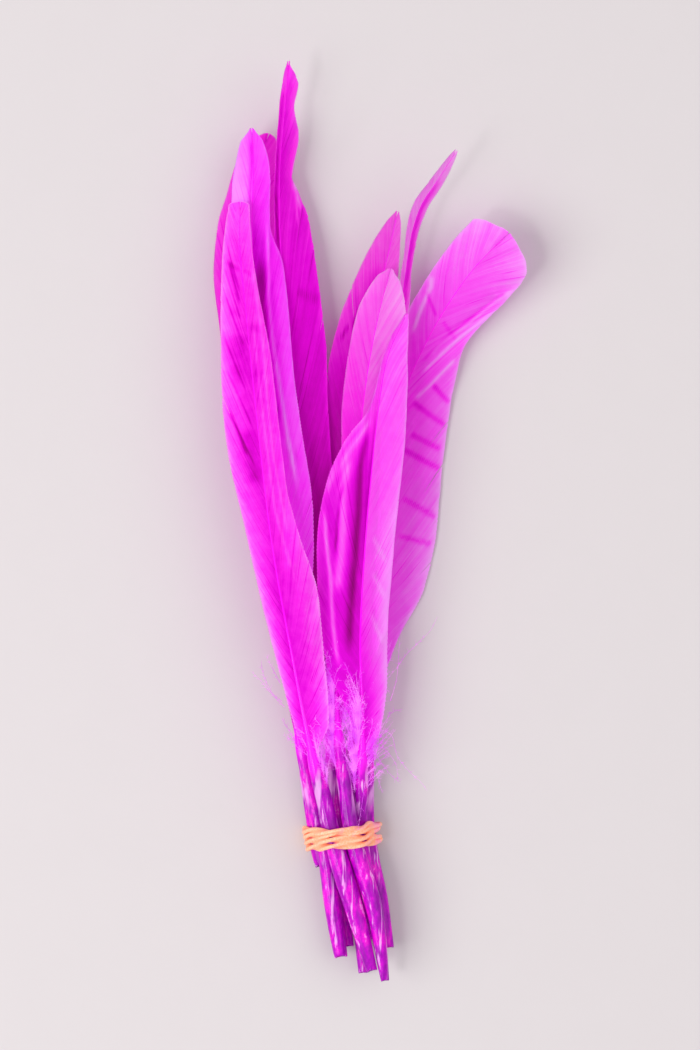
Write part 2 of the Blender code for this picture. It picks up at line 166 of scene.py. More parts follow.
# Stage
FLOOR_SIZE = 5.0
CAMERA_PLACE = (-0.00373, -0.00037, 0.777)
VIEW_LENGTH = 0.231  # height of the view on the floor
SENSOR = 36.0
FAR_END = 20  # the camera sees nothing beyond this
LIGHT_COLOR = (1.0, 0.985, 0.99)
LIGHTS = (
    ("window", (-0.9, -0.25, 1.0), 1.1, 12.4),
    ("lamp", (0.8, 0.3, 1.2), 1.6, 6.0),
    ("bulb", (-0.48, -0.29, 1.09), 0.2, 1.5),
)
ROOM_COLOR = (1.0, 0.98, 0.99)
ROOM_STRENGTH = 0.66

# Materials
# The deep and dark stops also stand for painted shade in folds and on shaded barbs, and the bright
# stop for the painted light of lit barbs
DYE_STOPS = (
    (0.0, "deep"), (0.2, "dark"), (0.42, "full"), (0.6, "bright"), (0.8, "light"), (1.0, "pale"),
)
BARB_SHADE = 0.05  # how much one barb's dye differs from the next
STREAK_SHADE = 0.14
MOTTLE_SHADE = 0.1
# Painted shade in the grooves between neighbouring barbs
BARB_GROOVE_PAINTED_SHADE = 0.06
RIBS_ACROSS = 46.0
# Painted glow of the quills and of the rubber, which lifts their shade
QUILL_PAINTED_GLOW = 0.12
RUBBER_PAINTED_GLOW = 0.12
STAIN_FROM = -0.003  # place along X past which the band is stained
STAIN_RISE = 11.0
# Patterns as (scale, detail, roughness, stretch along X, Y and Z)
STREAKS = (1.0, 3.0, 0.6, (0.35, 1.2, 0.02))
MOTTLE = (420.0, 3.0, 0.6)
QUILL_SPOTS = (620.0, 4.0, 0.62, (1.0, 0.35, 1.0))
QUILL_FLECKS = (1900.0, 3.0, 0.6)
QUILL_CLOUDS = (170.0, 2.0, 0.5, (1.0, 0.5, 1.0))
# The next two patterns are partly painted highlights on the quills
QUILL_SCUFFS_AND_HIGHLIGHTS = (480.0, 3.0, 0.55, (2.2, 0.08, 2.2))
QUILL_SHEATH_AND_HIGHLIGHTS = (330.0, 2.0, 0.5, (1.0, 0.3, 1.0))
DOWN_CLOUDS = (300.0, 2.0, 0.5)
RUBBER_STAIN = (260.0, 3.0, 0.55)
RUBBER_POWDER = (2600.0, 2.0, 0.5)
FLOOR_GRAIN = (90.0, 4.0, 0.6)
# Where a pattern or a place starts to show, as (start, steepness, most)
FEATHERED = (0.9, 10.0)
# These two also place painted highlights on the quills
SCUFFED_AND_HIGHLIGHTED = (0.6, 9.0, 0.7)
SHEATHED_AND_HIGHLIGHTED = (0.53, 9.0, 0.6)
NEAR_THE_VANES = (0.68, 12.0)
STAINED = (0.52, 7.0)

# Layout of the feathers. shaft: points along its middle from the cut end to the tip. radii:
# at the cut end, at the tie and at the foot of the vanes. vane_y: where the vanes start. left
# and right: each vane as (part of its length, reach, slope at the shaft, slope at the edge),
# the slopes in degrees.
FEATHERS = (
    dict(
        node="feather_front_left",
        shaft=(
            (1.1, -98.2, 8.8), (-3.0, -84.0, 9.6), (-7.4, -69.5, 10.45), (-9.4, -60.5, 11.1),
            (-12.0, -50.5, 12.2), (-16.5, -28.0, 14.0), (-20.5, -5.5, 15.2), (-24.0, 23.5, 15.2),
            (-26.0, 43.0, 14.5), (-27.5, 58.5, 13.6), (-27.5, 68.5, 13.0),
        ),
        radii=(1.2, 2.15, 1.5), vane_y=-52.0,
        left=(
            (0.0, 0.8, 0, -5), (0.06, 2.4, -4, -12), (0.2, 3.7, -6, -18), (0.4, 5.2, -8, -24),
            (0.6, 7.3, -8, -28), (0.78, 5.9, -8, -24), (0.9, 4.1, -6, -18), (0.97, 3.0, -5, -12),
            (1.0, 2.5, -4, -8),
        ),
        right=(
            (0.0, 0.8, 0, -5), (0.06, 5.0, -3, -8), (0.2, 7.1, -3, -10), (0.3, 8.0, -3, -12),
            (0.4, 6.1, -4, -12), (0.5, 4.7, -4, -12), (0.7, 4.5, -6, -14), (0.85, 3.1, -6, -14),
            (0.97, 2.2, -5, -10), (1.0, 2.0, -4, -8),
        ),
    ),
    dict(
        node="feather_upper_left",
        shaft=(
            (-5.7, -95.6, 5.6), (-7.5, -84.0, 6.2), (-9.3, -71.0, 6.6), (-12.0, -60.0, 7.4),
            (-15.5, -43.5, 9.0), (-18.5, -17.5, 10.8), (-21.0, 4.5, 11.5), (-23.0, 26.0, 11.5),
            (-24.5, 50.0, 11.0), (-25.0, 66.0, 11.0), (-24.6, 78.0, 12.0), (-25.0, 84.5, 13.0),
        ),
        radii=(1.5, 1.95, 1.35), vane_y=-49.0,
        left=(
            (0.0, 0.6, 0, -5), (0.12, 1.2, -8, -15), (0.3, 2.5, -10, -20), (0.5, 4.3, -10, -24),
            (0.7, 4.9, -10, -26), (0.85, 4.5, -8, -24), (0.9, 4.6, -8, -22), (0.94, 4.1, -6, -18),
            (0.98, 2.8, -5, -12), (1.0, 0.9, -4, -8),
        ),
        right=(
            (0.0, 0.6, 0, -5), (0.12, 3.0, 0, -4), (0.22, 5.2, 0, -5), (0.27, 7.2, -1, -6),
            (0.32, 8.3, -2, -8), (0.4, 9.1, -4, -10), (0.5, 8.3, -6, -12), (0.6, 7.5, -8, -14),
            (0.7, 7.2, -10, -16), (0.78, 6.5, -14, -22),
            (0.85, 3.9, -14, -24), (0.9, 3.8, -10, -24), (0.94, 3.4, -6, -20), (0.98, 2.2, -5, -12),
            (1.0, 0.9, -4, -8),
        ),
    ),
    dict(
        node="feather_back_left",
        shaft=(
            (-10.1, -76.0, 3.1), (-10.5, -73.5, 3.1), (-11.2, -69.5, 3.15), (-14.0, -53.5, 2.8),
            (-16.5, -37.5, 2.2), (-20.0, -17.5, 1.6), (-23.0, 4.5, 1.3), (-25.5, 26.5, 1.3),
            (-27.0, 48.5, 1.8), (-26.5, 64.5, 3.2), (-24.5, 76.0, 5.0), (-21.5, 84.0, 6.5),
        ),
        radii=(1.25, 1.72, 1.2), vane_y=-55.0,
        left=(
            (0.0, 0.6, 0, -2), (0.12, 1.4, 0, -6), (0.3, 2.8, 0, -8), (0.5, 4.6, 0, -10),
            (0.7, 5.7, 0, -12), (0.78, 6.7, 0, -12), (0.85, 6.3, 0, -12), (0.9, 5.1, 0, -10),
            (0.94, 4.6, 0, -8), (0.98, 3.4, 0, -6), (1.0, 1.8, 0, -4),
        ),
        right=(
            (0.0, 0.6, 0, -2), (0.12, 2.3, 0, -2), (0.3, 4.1, 0, -2), (0.5, 6.0, 0, -2),
            (0.7, 8.0, 0, -2), (0.85, 8.4, 0, -4), (0.9, 7.8, 0, -4), (0.94, 6.6, 0, -4),
            (0.98, 4.6, 0, -4), (1.0, 2.4, 0, -4),
        ),
    ),
    dict(
        node="feather_tall",
        shaft=(
            (-4.6, -79.5, 6.1), (-5.0, -75.0, 6.25), (-5.5, -69.5, 6.5), (-7.4, -56.5, 6.8),
            (-9.0, -43.5, 7.0), (-11.5, -22.0, 7.3), (-13.5, 4.5, 7.6), (-15.5, 26.0, 7.8),
            (-17.5, 45.5, 8.0), (-19.0, 62.0, 8.4), (-19.0, 76.0, 9.2), (-18.0, 88.0, 11.0),
            (-17.0, 99.0, 14.0),
        ),
        radii=(1.2, 1.72, 1.3), vane_y=-52.0,
        left=(
            (0.0, 0.6, 0, 0), (0.12, 3.2, -2, -6), (0.3, 4.2, -4, -8), (0.5, 3.7, -4, -8),
            (0.6, 3.2, -4, -8), (0.7, 2.2, 0, 10), (0.78, 1.1, 30, 50), (0.85, 1.2, 45, 62),
            (0.94, 1.2, 40, 60), (0.98, 0.9, 30, 45), (1.0, 0.5, 20, 30),
        ),
        right=(
            (0.0, 0.6, 0, 0), (0.12, 4.4, -2, -6), (0.3, 6.0, -4, -10), (0.5, 6.8, -6, -12),
            (0.6, 7.8, -6, -14), (0.7, 7.4, -12, -22), (0.77, 6.6, -24, -36), (0.81, 4.4, -32, -46),
            (0.84, 2.6, -38, -52), (0.89, 3.5, -38, -50), (0.94, 2.0, -34, -50),
            (0.965, 2.5, -30, -44), (0.98, 1.8, -26, -40), (1.0, 0.5, -20, -30),
        ),
    ),
    dict(
        node="feather_centre",
        shaft=(
            (3.9, -100.4, 8.2), (1.4, -84.0, 9.3), (-3.0, -69.5, 10.3), (-4.8, -58.5, 10.4),
            (-6.4, -45.5, 9.7), (-6.5, -28.5, 9.3), (-4.5, -6.5, 9.8), (-2.0, 15.0, 11.0),
            (0.0, 31.5, 12.3), (2.5, 44.5, 13.3), (5.0, 54.0, 14.0),
        ),
        radii=(0.9, 1.95, 1.35), vane_y=-47.0,
        left=(
            (0.0, 0.6, 0, 0), (0.06, 1.6, -4, -6), (0.2, 2.6, -4, -8), (0.4, 3.0, -4, -8),
            (0.52, 3.2, -4, -8), (0.6, 3.6, -4, -10), (0.7, 4.6, -4, -12), (0.85, 4.8, -4, -14),
            (0.9, 4.7, -4, -14), (0.94, 3.9, -4, -12), (0.98, 2.5, -4, -8), (1.0, 1.2, -4, -8),
        ),
        right=(
            (0.0, 0.6, 0, 0), (0.06, 1.8, -6, -10), (0.2, 4.4, -8, -14), (0.4, 7.0, -8, -16),
            (0.6, 8.0, -8, -20), (0.78, 7.8, -8, -22), (0.85, 7.2, -8, -22), (0.9, 6.2, -8, -20),
            (0.94, 4.9, -6, -16), (0.98, 2.8, -4, -10), (1.0, 1.2, -4, -8),
        ),
    ),
    dict(
        node="feather_front_centre",
        shaft=(
            (1.9, -91.5, 5.4), (0.2, -80.0, 5.9), (-1.4, -69.5, 6.6), (-1.3, -56.5, 8.8),
            (-1.0, -43.5, 11.2), (-1.5, -26.0, 12.6), (-0.5, -6.5, 13.6), (1.0, 11.0, 14.2),
            (2.5, 24.5, 14.5), (4.5, 35.5, 14.7), (8.5, 44.5, 14.9),
        ),
        radii=(1.1, 1.72, 1.5), vane_y=-52.0,
        left=(
            (0.0, 0.8, 0, 0), (0.06, 1.8, -10, -10), (0.12, 3.8, -14, -10), (0.2, 7.0, -18, -8),
            (0.3, 9.0, -20, -4), (0.4, 10.0, -20, -2), (0.5, 10.6, -18, 0), (0.6, 9.7, -14, 4),
            (0.7, 6.6, -4, 12), (0.78, 2.0, 10, 30), (0.85, 1.0, 15, 40), (0.94, 0.9, 20, 40),
            (1.0, 0.5, 15, 30),
        ),
        right=(
            (0.0, 0.8, 0, 0), (0.06, 3.8, -6, -14), (0.2, 5.8, -8, -20), (0.4, 6.1, -8, -22),
            (0.6, 6.5, -8, -24), (0.7, 6.6, -10, -26), (0.85, 5.4, -14, -30), (0.94, 3.1, -16, -30),
            (0.98, 1.4, -16, -26), (1.0, 0.6, -14, -20),
        ),
    ),
    dict(
        node="feather_back_centre",
        shaft=(
            (-4.1, -93.6, 2.8), (-5.6, -83.0, 3.0), (-7.4, -69.5, 3.1), (-8.0, -52.5, 3.3),
            (-7.5, -35.0, 3.9), (-6.0, -13.0, 4.7), (-4.0, 8.5, 5.7), (-1.5, 28.5, 7.2),
            (1.5, 45.5, 9.2), (4.5, 57.5, 11.3), (6.5, 66.5, 13.5),
        ),
        radii=(1.2, 1.72, 1.25), vane_y=-50.0,
        left=(
            (0.0, 0.6, 0, 0), (0.12, 3.2, -2, -6), (0.3, 5.1, -4, -12), (0.5, 6.3, -6, -16),
            (0.7, 7.7, -6, -18), (0.78, 7.2, -6, -16), (0.85, 5.9, -4, -14), (0.9, 4.9, -4, -12),
            (0.94, 3.7, -4, -10), (0.98, 1.9, -4, -8), (1.0, 0.8, -4, -8),
        ),
        right=(
            (0.0, 0.6, 0, 0), (0.12, 2.6, -8, -10), (0.3, 4.4, -10, -14), (0.5, 6.2, -10, -16),
            (0.7, 6.4, -8, -14), (0.85, 4.0, -6, -12), (0.9, 3.0, -6, -12), (0.94, 2.2, -4, -10),
            (0.98, 1.3, -4, -8), (1.0, 0.7, -4, -8),
        ),
    ),
    dict(
        node="feather_curled",
        shaft=(
            (-0.9, -99.4, 2.4), (-1.8, -86.0, 2.8), (-3.6, -69.5, 3.1), (-3.3, -54.0, 3.7),
            (-2.4, -38.0, 4.6), (-0.9, -20.0, 5.6), (1.4, 0.0, 6.9), (4.0, 22.0, 8.4),
            (6.4, 39.6, 9.0), (7.9, 50.5, 9.6), (8.7, 56.5, 10.4), (9.8, 62.8, 11.6),
            (11.7, 68.2, 12.8), (15.0, 73.2, 14.4), (19.2, 79.5, 17.0),
        ),
        radii=(0.95, 1.72, 1.15), vane_y=-47.0,
        left=(
            (0.0, 0.6, 0, 0), (0.2, 2.0, 0, 0), (0.4, 2.6, 0, 0), (0.6, 2.6, 0, 4),
            (0.72, 1.4, 20, 30), (0.8, 1.0, 50, 66), (0.88, 1.6, 56, 72), (0.95, 1.3, 56, 70),
            (0.99, 0.7, 40, 60), (1.0, 0.5, 30, 40),
        ),
        right=(
            (0.0, 0.6, 0, 0), (0.2, 1.8, -4, -6), (0.4, 2.6, -6, -10), (0.6, 2.6, -10, -16),
            (0.72, 1.8, -30, -40), (0.8, 1.2, -56, -68), (0.88, 1.5, -56, -70),
            (0.95, 1.3, -54, -68), (0.99, 0.6, -40, -60), (1.0, 0.4, -30, -40),
        ),
    ),
    dict(
        node="feather_right",
        shaft=(
            (4.7, -93.9, 2.7), (2.9, -83.0, 3.0), (0.3, -69.5, 3.15), (0.3, -52.5, 2.8),
            (0.8, -35.0, 2.3), (1.9, -15.5, 1.9), (3.5, 2.0, 2.0), (5.5, 17.5, 2.5),
            (8.0, 27.5, 3.2), (12.0, 37.0, 4.5), (17.0, 46.0, 6.6), (23.5, 55.0, 9.2),
            (30.5, 62.0, 12.0),
        ),
        radii=(1.2, 1.72, 1.25), vane_y=-50.0,
        left=(
            (0.0, 0.6, 0, 0), (0.12, 2.6, -4, -6), (0.3, 4.4, -4, -8), (0.5, 5.4, -4, -8),
            (0.7, 5.9, 0, -4), (0.78, 6.8, 2, -2), (0.85, 7.1, 2, -4), (0.9, 7.3, 2, -6),
            (0.94, 7.5, 0, -8), (0.97, 7.6, 0, -8), (0.985, 6.0, 0, -8), (1.0, 3.2, 0, -8),
        ),
        right=(
            (0.0, 0.6, 0, 0), (0.12, 2.8, 0, -8), (0.2, 5.6, 0, -10), (0.3, 10.7, 0, -10),
            (0.4, 12.2, 0, -10), (0.5, 12.0, 0, -12), (0.6, 11.4, -2, -14), (0.7, 9.6, -4, -18),
            (0.78, 7.9, -4, -18), (0.85, 9.0, -4, -18), (0.9, 9.9, -4, -16), (0.94, 9.9, -4, -14),
            (0.97, 9.1, -4, -12), (0.985, 7.4, -2, -10), (1.0, 4.4, -2, -10),
        ),
    ),
)


def alike(side, width, dye, rise, *lines):
    """Marks that differ only in their lines."""
    return tuple((side, line, width, dye, rise) for line in lines)


# How each feather differs from the others. seed: its own random draws. dull: painted
# shade that greys and darkens the dye of a feather lying under or behind others. warm: 0 violet
# dye, 1 pink dye. mottle: strength of the fine spots. barbs: slant of the barbs in degrees at the
# base and at the tip. tip: length of the rounded tip. ragged: how wide the vane's own gaps open.
# parted: part of the barbs that stand a little apart, drawn as painted shade lines. rows: mesh
# rows from the shaft to the edge. left and right: dye strength along each vane as (part of the
# vane's length, beside the shaft, at the edge), 0 deep and 1 pale; these values also paint light
# and shade, deeper where a vane lies in the shadow of another or slopes away from the light and
# paler where it catches the light. splits: gaps between barbs as (side, part of the length at the
# shaft, where across the vane it opens, width at the edge). marks: creases, folds and bars as
# (side, points as (part of the length, part across), width, change of dye, rise); on creases and
# folds the change of dye is painted shade and highlight, darker where the surface sinks and paler
# where it rises, while marks without rise are dye bars and patches. down: tufts as (side, first
# and last place past the foot of the vane, strands, length, slant off the shaft, slant off the
# floor). wisps: lines of single long fibres.
LOOKS = {
    "feather_front_left": dict(
        seed=11, dull=0, barbs=(22, 13), tip=0.4, warm=0.45, ragged=0.5, parted=0.4,
        mottle=2.6,
        left=((0, 0.42, 0.6), (0.1, 0.42, 0.95), (0.25, 0.4, 1.0), (0.38, 0.46, 0.96),
              (0.5, 0.48, 0.86), (0.7, 0.5, 0.88), (0.9, 0.64, 0.88), (1, 0.74, 0.88)),
        right=((0, 0.5, 0.8), (0.12, 0.46, 0.9), (0.25, 0.46, 0.88), (0.36, 0.5, 0.78),
               (0.5, 0.6, 0.66), (0.7, 0.6, 0.64), (0.9, 0.66, 0.72), (1, 0.74, 0.82)),
        splits=(("left", 0.5, 0.5, 0.6), ("left", 0.66, 0.5, 0.4)),
        marks=(
            *alike("left", 0.35, -0.3, -0.1,
                   ((0.9, 0.62), (0.82, 0.2)), ((0.64, 0.8), (0.55, 0.4))),
            ("left", ((0.5, 0.3), (0.6, 0.35)), 1.6, -0.16, 0.0),
            ("left", ((0.68, 0.4), (0.77, 0.5)), 1.8, -0.17, 0.0),
            ("right", ((0.62, 0.2), (0.72, 0.2)), 1.0, -0.08, 0.0),
            ("right", ((0.9, 0.86), (0.75, 0.7), (0.65, 0.6)), 0.4, 0.14, 0.1),
            ("left", ((0.88, 0.1), (0.9, 0.8)), 0.4, -0.22, 0.0),
            ("right", ((0.88, 0.1), (0.87, 0.7)), 0.4, -0.18, 0.0),
            ("left", ((0.8, 0.2), (0.81, 0.7)), 0.5, -0.12, 0.0),
            *alike("left", 0.2, -0.2, -0.06,
                   ((0.84, 0.15), (0.9, 0.5), (0.93, 0.75)),
                   ((0.79, 0.2), (0.86, 0.6), (0.89, 0.85)),
                   ((0.74, 0.15), (0.8, 0.5), (0.84, 0.8)),
                   ((0.66, 0.2), (0.73, 0.6), (0.77, 0.9)),
                   ((0.6, 0.15), (0.68, 0.6), (0.71, 0.85)),
                   ((0.53, 0.2), (0.6, 0.6), (0.64, 0.9))),
            ("right", ((0.78, 0.1), (0.77, 0.8)), 0.6, -0.14, 0.0),
            ("right", ((0.7, 0.1), (0.69, 0.5)), 0.6, -0.1, 0.0),
            ("right", ((0.8, 0.35), (0.6, 0.3), (0.45, 0.3), (0.3, 0.5)), 0.3, 0.14, 0.1),
            ("right", ((0.7, 0.6), (0.55, 0.55), (0.4, 0.6)), 0.25, 0.12, 0.1),
        ),
        down=(("left", -1, 10, 4, 5, 30, 5), ("right", -8, 2, 22, 8, 18, 40)),
        wisps=(
            ((-18.0, -40.7, 9.0), (-20.9, -37.8, 7.5), (-23.1, -35.2, 6.0), (-25.5, -33.0, 5.0)),
            ((-18.5, -39.6, 9.0), (-20.9, -37.4, 7.5), (-22.7, -33.4, 6.5), (-23.1, -30.8, 6.0)),
            ((-18.9, -35.6, 9.0), (-20.5, -32.6, 8.0), (-22.0, -29.7, 7.0)),
            ((-15.0, -48.2, 8.0), (-16.5, -48.0, 7.0), (-18.3, -46.9, 6.0)),
        ),
    ),
    "feather_upper_left": dict(
        seed=12, dull=0, barbs=(24, 14), tip=1.5, warm=0.0, ragged=0.4, parted=0.15,
        mottle=1.3,
        left=((0, 0.45, 0.5), (0.5, 0.5, 0.6), (0.8, 0.84, 1.1), (0.88, 0.9, 1.1), (1, 0.76, 0.9)),
        # Painted light and shade: the right vane's dye is lifted where the front left feather
        # shades it and deeper where it slopes away from the light
        right=((0, 0.62, 0.7), (0.3, 0.64, 0.7), (0.45, 0.6, 0.68), (0.6, 0.5, 0.68),
               (0.7, 0.36, 0.68), (0.8, 0.4, 0.6), (0.88, 0.6, 0.68), (1, 0.7, 0.78)),
        splits=(),
        # Painted light and shade of the right vane's fold: a lit ridge line and a shaded hollow
        # beside it
        marks=(
            ("right", ((0.87, 0.86), (0.79, 0.51), (0.72, 0.41), (0.66, 0.44), (0.59, 0.54),
                       (0.5, 0.6), (0.4, 0.7)), 0.45, 0.35, 0.35),
            ("right", ((0.8, 0.35), (0.72, 0.2), (0.62, 0.25), (0.5, 0.4)), 1.3, -0.2, -0.2),
            ("right", ((0.82, 0.9), (0.7, 0.75), (0.6, 0.8), (0.45, 0.85)), 1.2, 0.08, 0.1),
            ("left", ((0.99, 0.2), (0.9, 0.1), (0.83, 0.05)), 0.5, -0.25, -0.1),
        ),
        down=(("right", -6, 12, 40, 9, 16, 40),),
    ),
    "feather_back_left": dict(
        seed=13, dull=0.2, barbs=(24, 16), tip=1.5, warm=0.6, ragged=0.3, parted=0.12,
        left=((0, 0.4, 0.4), (0.6, 0.42, 0.5), (0.75, 0.5, 0.66), (1, 0.5, 0.7)),
        right=((0, 0.4, 0.4), (0.7, 0.5, 0.6), (1, 0.55, 0.7)),
        splits=(), marks=(),
        down=(("left", -2, 10, 3, 6, 24, 0), ("right", -4, 10, 16, 8, 20, 20)),
    ),
    "feather_tall": dict(
        seed=14, dull=0.0, barbs=(24, 13), tip=2.5, warm=0.45, ragged=0.7, parted=0.15,
        left=((0, 0.35, 0.4), (0.5, 0.35, 0.4), (0.8, 0.5, 0.6), (1, 0.7, 0.8)),
        # Painted shade: the right vane is kept deep near its foot, where it lies in the shadow of
        # the upper left feather
        right=((0, 0.05, 0.1), (0.3, 0.13, 0.18), (0.5, 0.34, 0.36), (0.65, 0.43, 0.44),
               (0.77, 0.46, 0.48), (0.84, 0.4, 0.64), (0.9, 0.44, 0.74), (1, 0.62, 0.8)),
        splits=(("right", 0.82, 0.2, 0.5),),
        marks=(
            ("right", ((0.79, 0.85), (0.83, 0.95)), 0.35, 0.4, 0.1),
            ("right", ((0.77, 0.6), (0.81, 0.8)), 0.3, 0.25, 0.1),
            ("right", ((0.67, 0.3), (0.655, 0.95)), 0.5, -0.18, 0.0),
            ("left", ((0.72, 0.2), (0.82, 0.6), (0.9, 0.6), (0.97, 0.6)), 0.4, -0.25, 0.0),
        ),
        down=(("left", -6, 14, 40, 10, 14, 40), ("right", -6, 16, 70, 10, 14, 45)),
    ),
    "feather_centre": dict(
        seed=15, dull=0.2, barbs=(24, 17), tip=1.6, warm=0.5, ragged=0.25, parted=0.08,
        left=((0, 0.4, 0.4), (0.4, 0.42, 0.46), (0.55, 0.48, 0.54), (0.7, 0.6, 0.66),
              (0.85, 0.7, 0.76), (1, 0.82, 0.88)),
        right=((0, 0.4, 0.4), (0.4, 0.5, 0.6), (0.6, 0.66, 0.74), (0.75, 0.8, 0.84),
               (1, 0.9, 0.94)),
        splits=(),
        marks=(("left", ((0.62, 0.3), (0.56, 0.9)), 2.2, -0.1, 0.0),),
        down=(("left", -8, 14, 120, 10, 17, 45), ("right", -3, 14, 24, 8, 30, 10)),
    ),
    "feather_front_centre": dict(
        seed=16, dull=0, barbs=(22, 15), tip=1.2, warm=0.3, ragged=0.3, parted=0.15,
        left=((0, 0.45, 0.5), (0.1, 0.4, 0.5), (0.3, 0.36, 0.48), (0.6, 0.4, 0.5),
              (0.7, 0.55, 0.66), (0.8, 0.7, 0.8), (1, 0.8, 0.85)),
        right=((0, 0.42, 0.6), (0.1, 0.42, 0.95), (0.3, 0.62, 1.05), (0.5, 0.76, 1.0),
               (0.7, 0.78, 0.86), (1, 0.82, 0.85)),
        splits=(("right", 0.42, 0.5, 0.35), ("right", 0.3, 0.4, 0.3)),
        # Painted light and shade of the folded left vane: lit ridges paler, shaded valleys darker
        marks=(
            ("left", ((0.56, 0.93), (0.48, 0.8), (0.4, 0.7), (0.3, 0.66), (0.2, 0.66)),
             0.45, 0.42, 0.25),
            ("left", ((0.68, 0.66), (0.6, 0.6), (0.52, 0.48), (0.44, 0.48), (0.36, 0.56)),
             1.0, 0.4, 0.25),
            ("left", ((0.62, 0.6), (0.57, 0.62), (0.5, 0.6), (0.44, 0.6)), 0.3, -0.3, -0.1),
            ("left", ((0.75, 0.4), (0.65, 0.3), (0.55, 0.2), (0.45, 0.2), (0.35, 0.24),
                      (0.22, 0.34)), 0.8, -0.3, -0.5),
            ("left", ((0.76, 0.4), (0.7, 0.6), (0.64, 0.85), (0.58, 0.97)), 0.6, 0.3, 0.2),
            *alike("right", 0.35, 0.14, 0.1,
                   ((0.5, 0.2), (0.44, 0.8)), ((0.42, 0.3), (0.36, 0.85)),
                   ((0.33, 0.3), (0.26, 0.85))),
        ),
        down=(("left", -8, 12, 130, 11, 17, 45), ("right", -8, 4, 30, 8, 34, 15)),
        wisps=(
            ((2.9, -45.8, 6.0), (5.3, -46.9, 4.5), (6.6, -51.7, 3.0), (9.5, -55.4, 2.0),
             (11.9, -57.6, 1.5), (13.2, -59.4, 1.5)),
            ((1.1, -48.8, 7.0), (4.0, -50.2, 6.0), (6.4, -53.9, 4.0), (6.6, -57.2, 3.0)),
            ((1.1, -49.5, 6.5), (2.9, -52.8, 5.0), (5.5, -56.1, 4.0), (7.3, -57.6, 3.0)),
            ((0.7, -50.6, 8.0), (2.0, -55.0, 8.5), (3.3, -59.4, 8.0)),
            ((0.2, -52.0, 9.0), (-0.5, -57.0, 10.0), (-1.2, -62.0, 11.5), (-2.0, -67.0, 13.0)),
            ((2.9, -45.8, 5.0), (4.0, -44.0, 4.5), (5.7, -42.0, 4.0), (7.7, -41.4, 4.0)),
        ),
    ),
    "feather_back_centre": dict(
        # Painted shade: this feather lies under the tall one, so its dye is greyed and kept deep,
        # most of all on the left
        seed=17, dull=0.5, barbs=(24, 17), tip=1.2, warm=0.6, ragged=0.4, parted=0.12,
        left=((0, 0.1, 0.1), (0.4, 0.13, 0.16), (0.55, 0.27, 0.3), (0.7, 0.4, 0.46),
              (0.85, 0.58, 0.66), (1, 0.72, 0.76)),
        right=((0, 0.15, 0.15), (0.4, 0.3, 0.35), (0.6, 0.45, 0.45), (0.8, 0.6, 0.66),
               (1, 0.72, 0.76)),
        splits=(("left", 0.7, 0.4, 0.6),),
        marks=(
            ("left", ((0.78, 0.66), (0.75, 0.8)), 0.3, -0.3, 0.0),
            ("left", ((0.83, 0.4), (0.80, 0.5)), 0.3, -0.3, 0.0),
            ("left", ((0.8, 0.55), (0.77, 0.5)), 0.3, -0.25, 0.0),
            ("left", ((0.9, 0.3), (0.75, 0.2), (0.6, 0.2)), 1.2, -0.12, 0.0),
        ),
        down=(("left", -6, 14, 50, 9, 16, 30), ("right", -6, 14, 50, 9, 18, 30)),
    ),
    "feather_curled": dict(
        seed=18, dull=0.2, barbs=(22, 14), tip=1.2, warm=0.5, ragged=0.3, parted=0.1,
        left=((0, 0.4, 0.4), (0.6, 0.8, 0.85), (0.8, 0.88, 0.9), (1, 0.95, 0.95)),
        right=((0, 0.4, 0.4), (0.6, 0.8, 0.85), (0.8, 0.65, 0.85), (1, 0.9, 1.0)),
        splits=(),
        marks=(("right", ((0.7, 0.3), (0.85, 0.3), (0.95, 0.3)), 0.5, -0.2, 0.0),),
        down=(("left", -3, 16, 20, 8, 28, 25), ("right", -3, 16, 26, 9, 36, 5)),
    ),
    "feather_right": dict(
        seed=19, dull=0.1, barbs=(27, 20), tip=1.5, warm=0.3, ragged=0.4, parted=0.05,
        rows=34,
        left=((0, 0.4, 0.45), (0.4, 0.45, 0.6), (0.7, 0.6, 0.78), (0.85, 0.72, 0.84),
              (1, 0.85, 0.92)),
        right=((0, 0.4, 0.5), (0.1, 0.5, 0.74), (0.2, 0.68, 0.86), (0.35, 0.7, 0.94),
               (0.5, 0.66, 0.86), (0.62, 0.62, 0.88), (0.75, 0.68, 0.82), (0.9, 0.75, 0.86),
               (1, 0.85, 0.95)),
        splits=(("right", 0.34, 0.6, 0.7), ("right", 0.42, 0.6, 0.5)),
        marks=(
            *alike("right", 0.45, -0.36, 0.0,
                   ((0.685, 0.5), (0.66, 0.98)), ((0.64, 0.2), (0.61, 0.98))),
            ("right", ((0.58, 0.3), (0.56, 0.95)), 0.45, -0.34, 0.0),
            ("right", ((0.55, 0.2), (0.52, 0.98)), 0.45, -0.36, 0.0),
            *alike("right", 0.42, -0.3, 0.0,
                   ((0.46, 0.3), (0.43, 0.98)), ((0.39, 0.3), (0.38, 0.95))),
            # Painted light and shade of a fold in the right vane: paler raised lines and a darker
            # sunk one; the marks above are dye bars
            ("right", ((0.94, 1.0), (0.9, 0.87), (0.825, 0.72), (0.757, 0.36), (0.717, 0.16)),
             0.4, 0.24, 0.2),
            ("right", ((0.925, 0.95), (0.88, 0.8), (0.81, 0.62), (0.745, 0.28), (0.71, 0.1)),
             0.5, -0.2, -0.2),
            ("right", ((0.87, 1.0), (0.81, 0.85), (0.752, 0.54), (0.69, 0.18)), 0.4, 0.24, 0.2),
            ("right", ((0.75, 0.9), (0.68, 0.46), (0.64, 0.22)), 0.45, 0.24, 0.2),
            ("left", ((0.86, 0.95), (0.84, 0.74), (0.75, 0.55)), 0.5, 0.25, 0.2),
            ("left", ((0.8, 0.1), (0.83, 0.8)), 0.35, -0.18, 0.0),
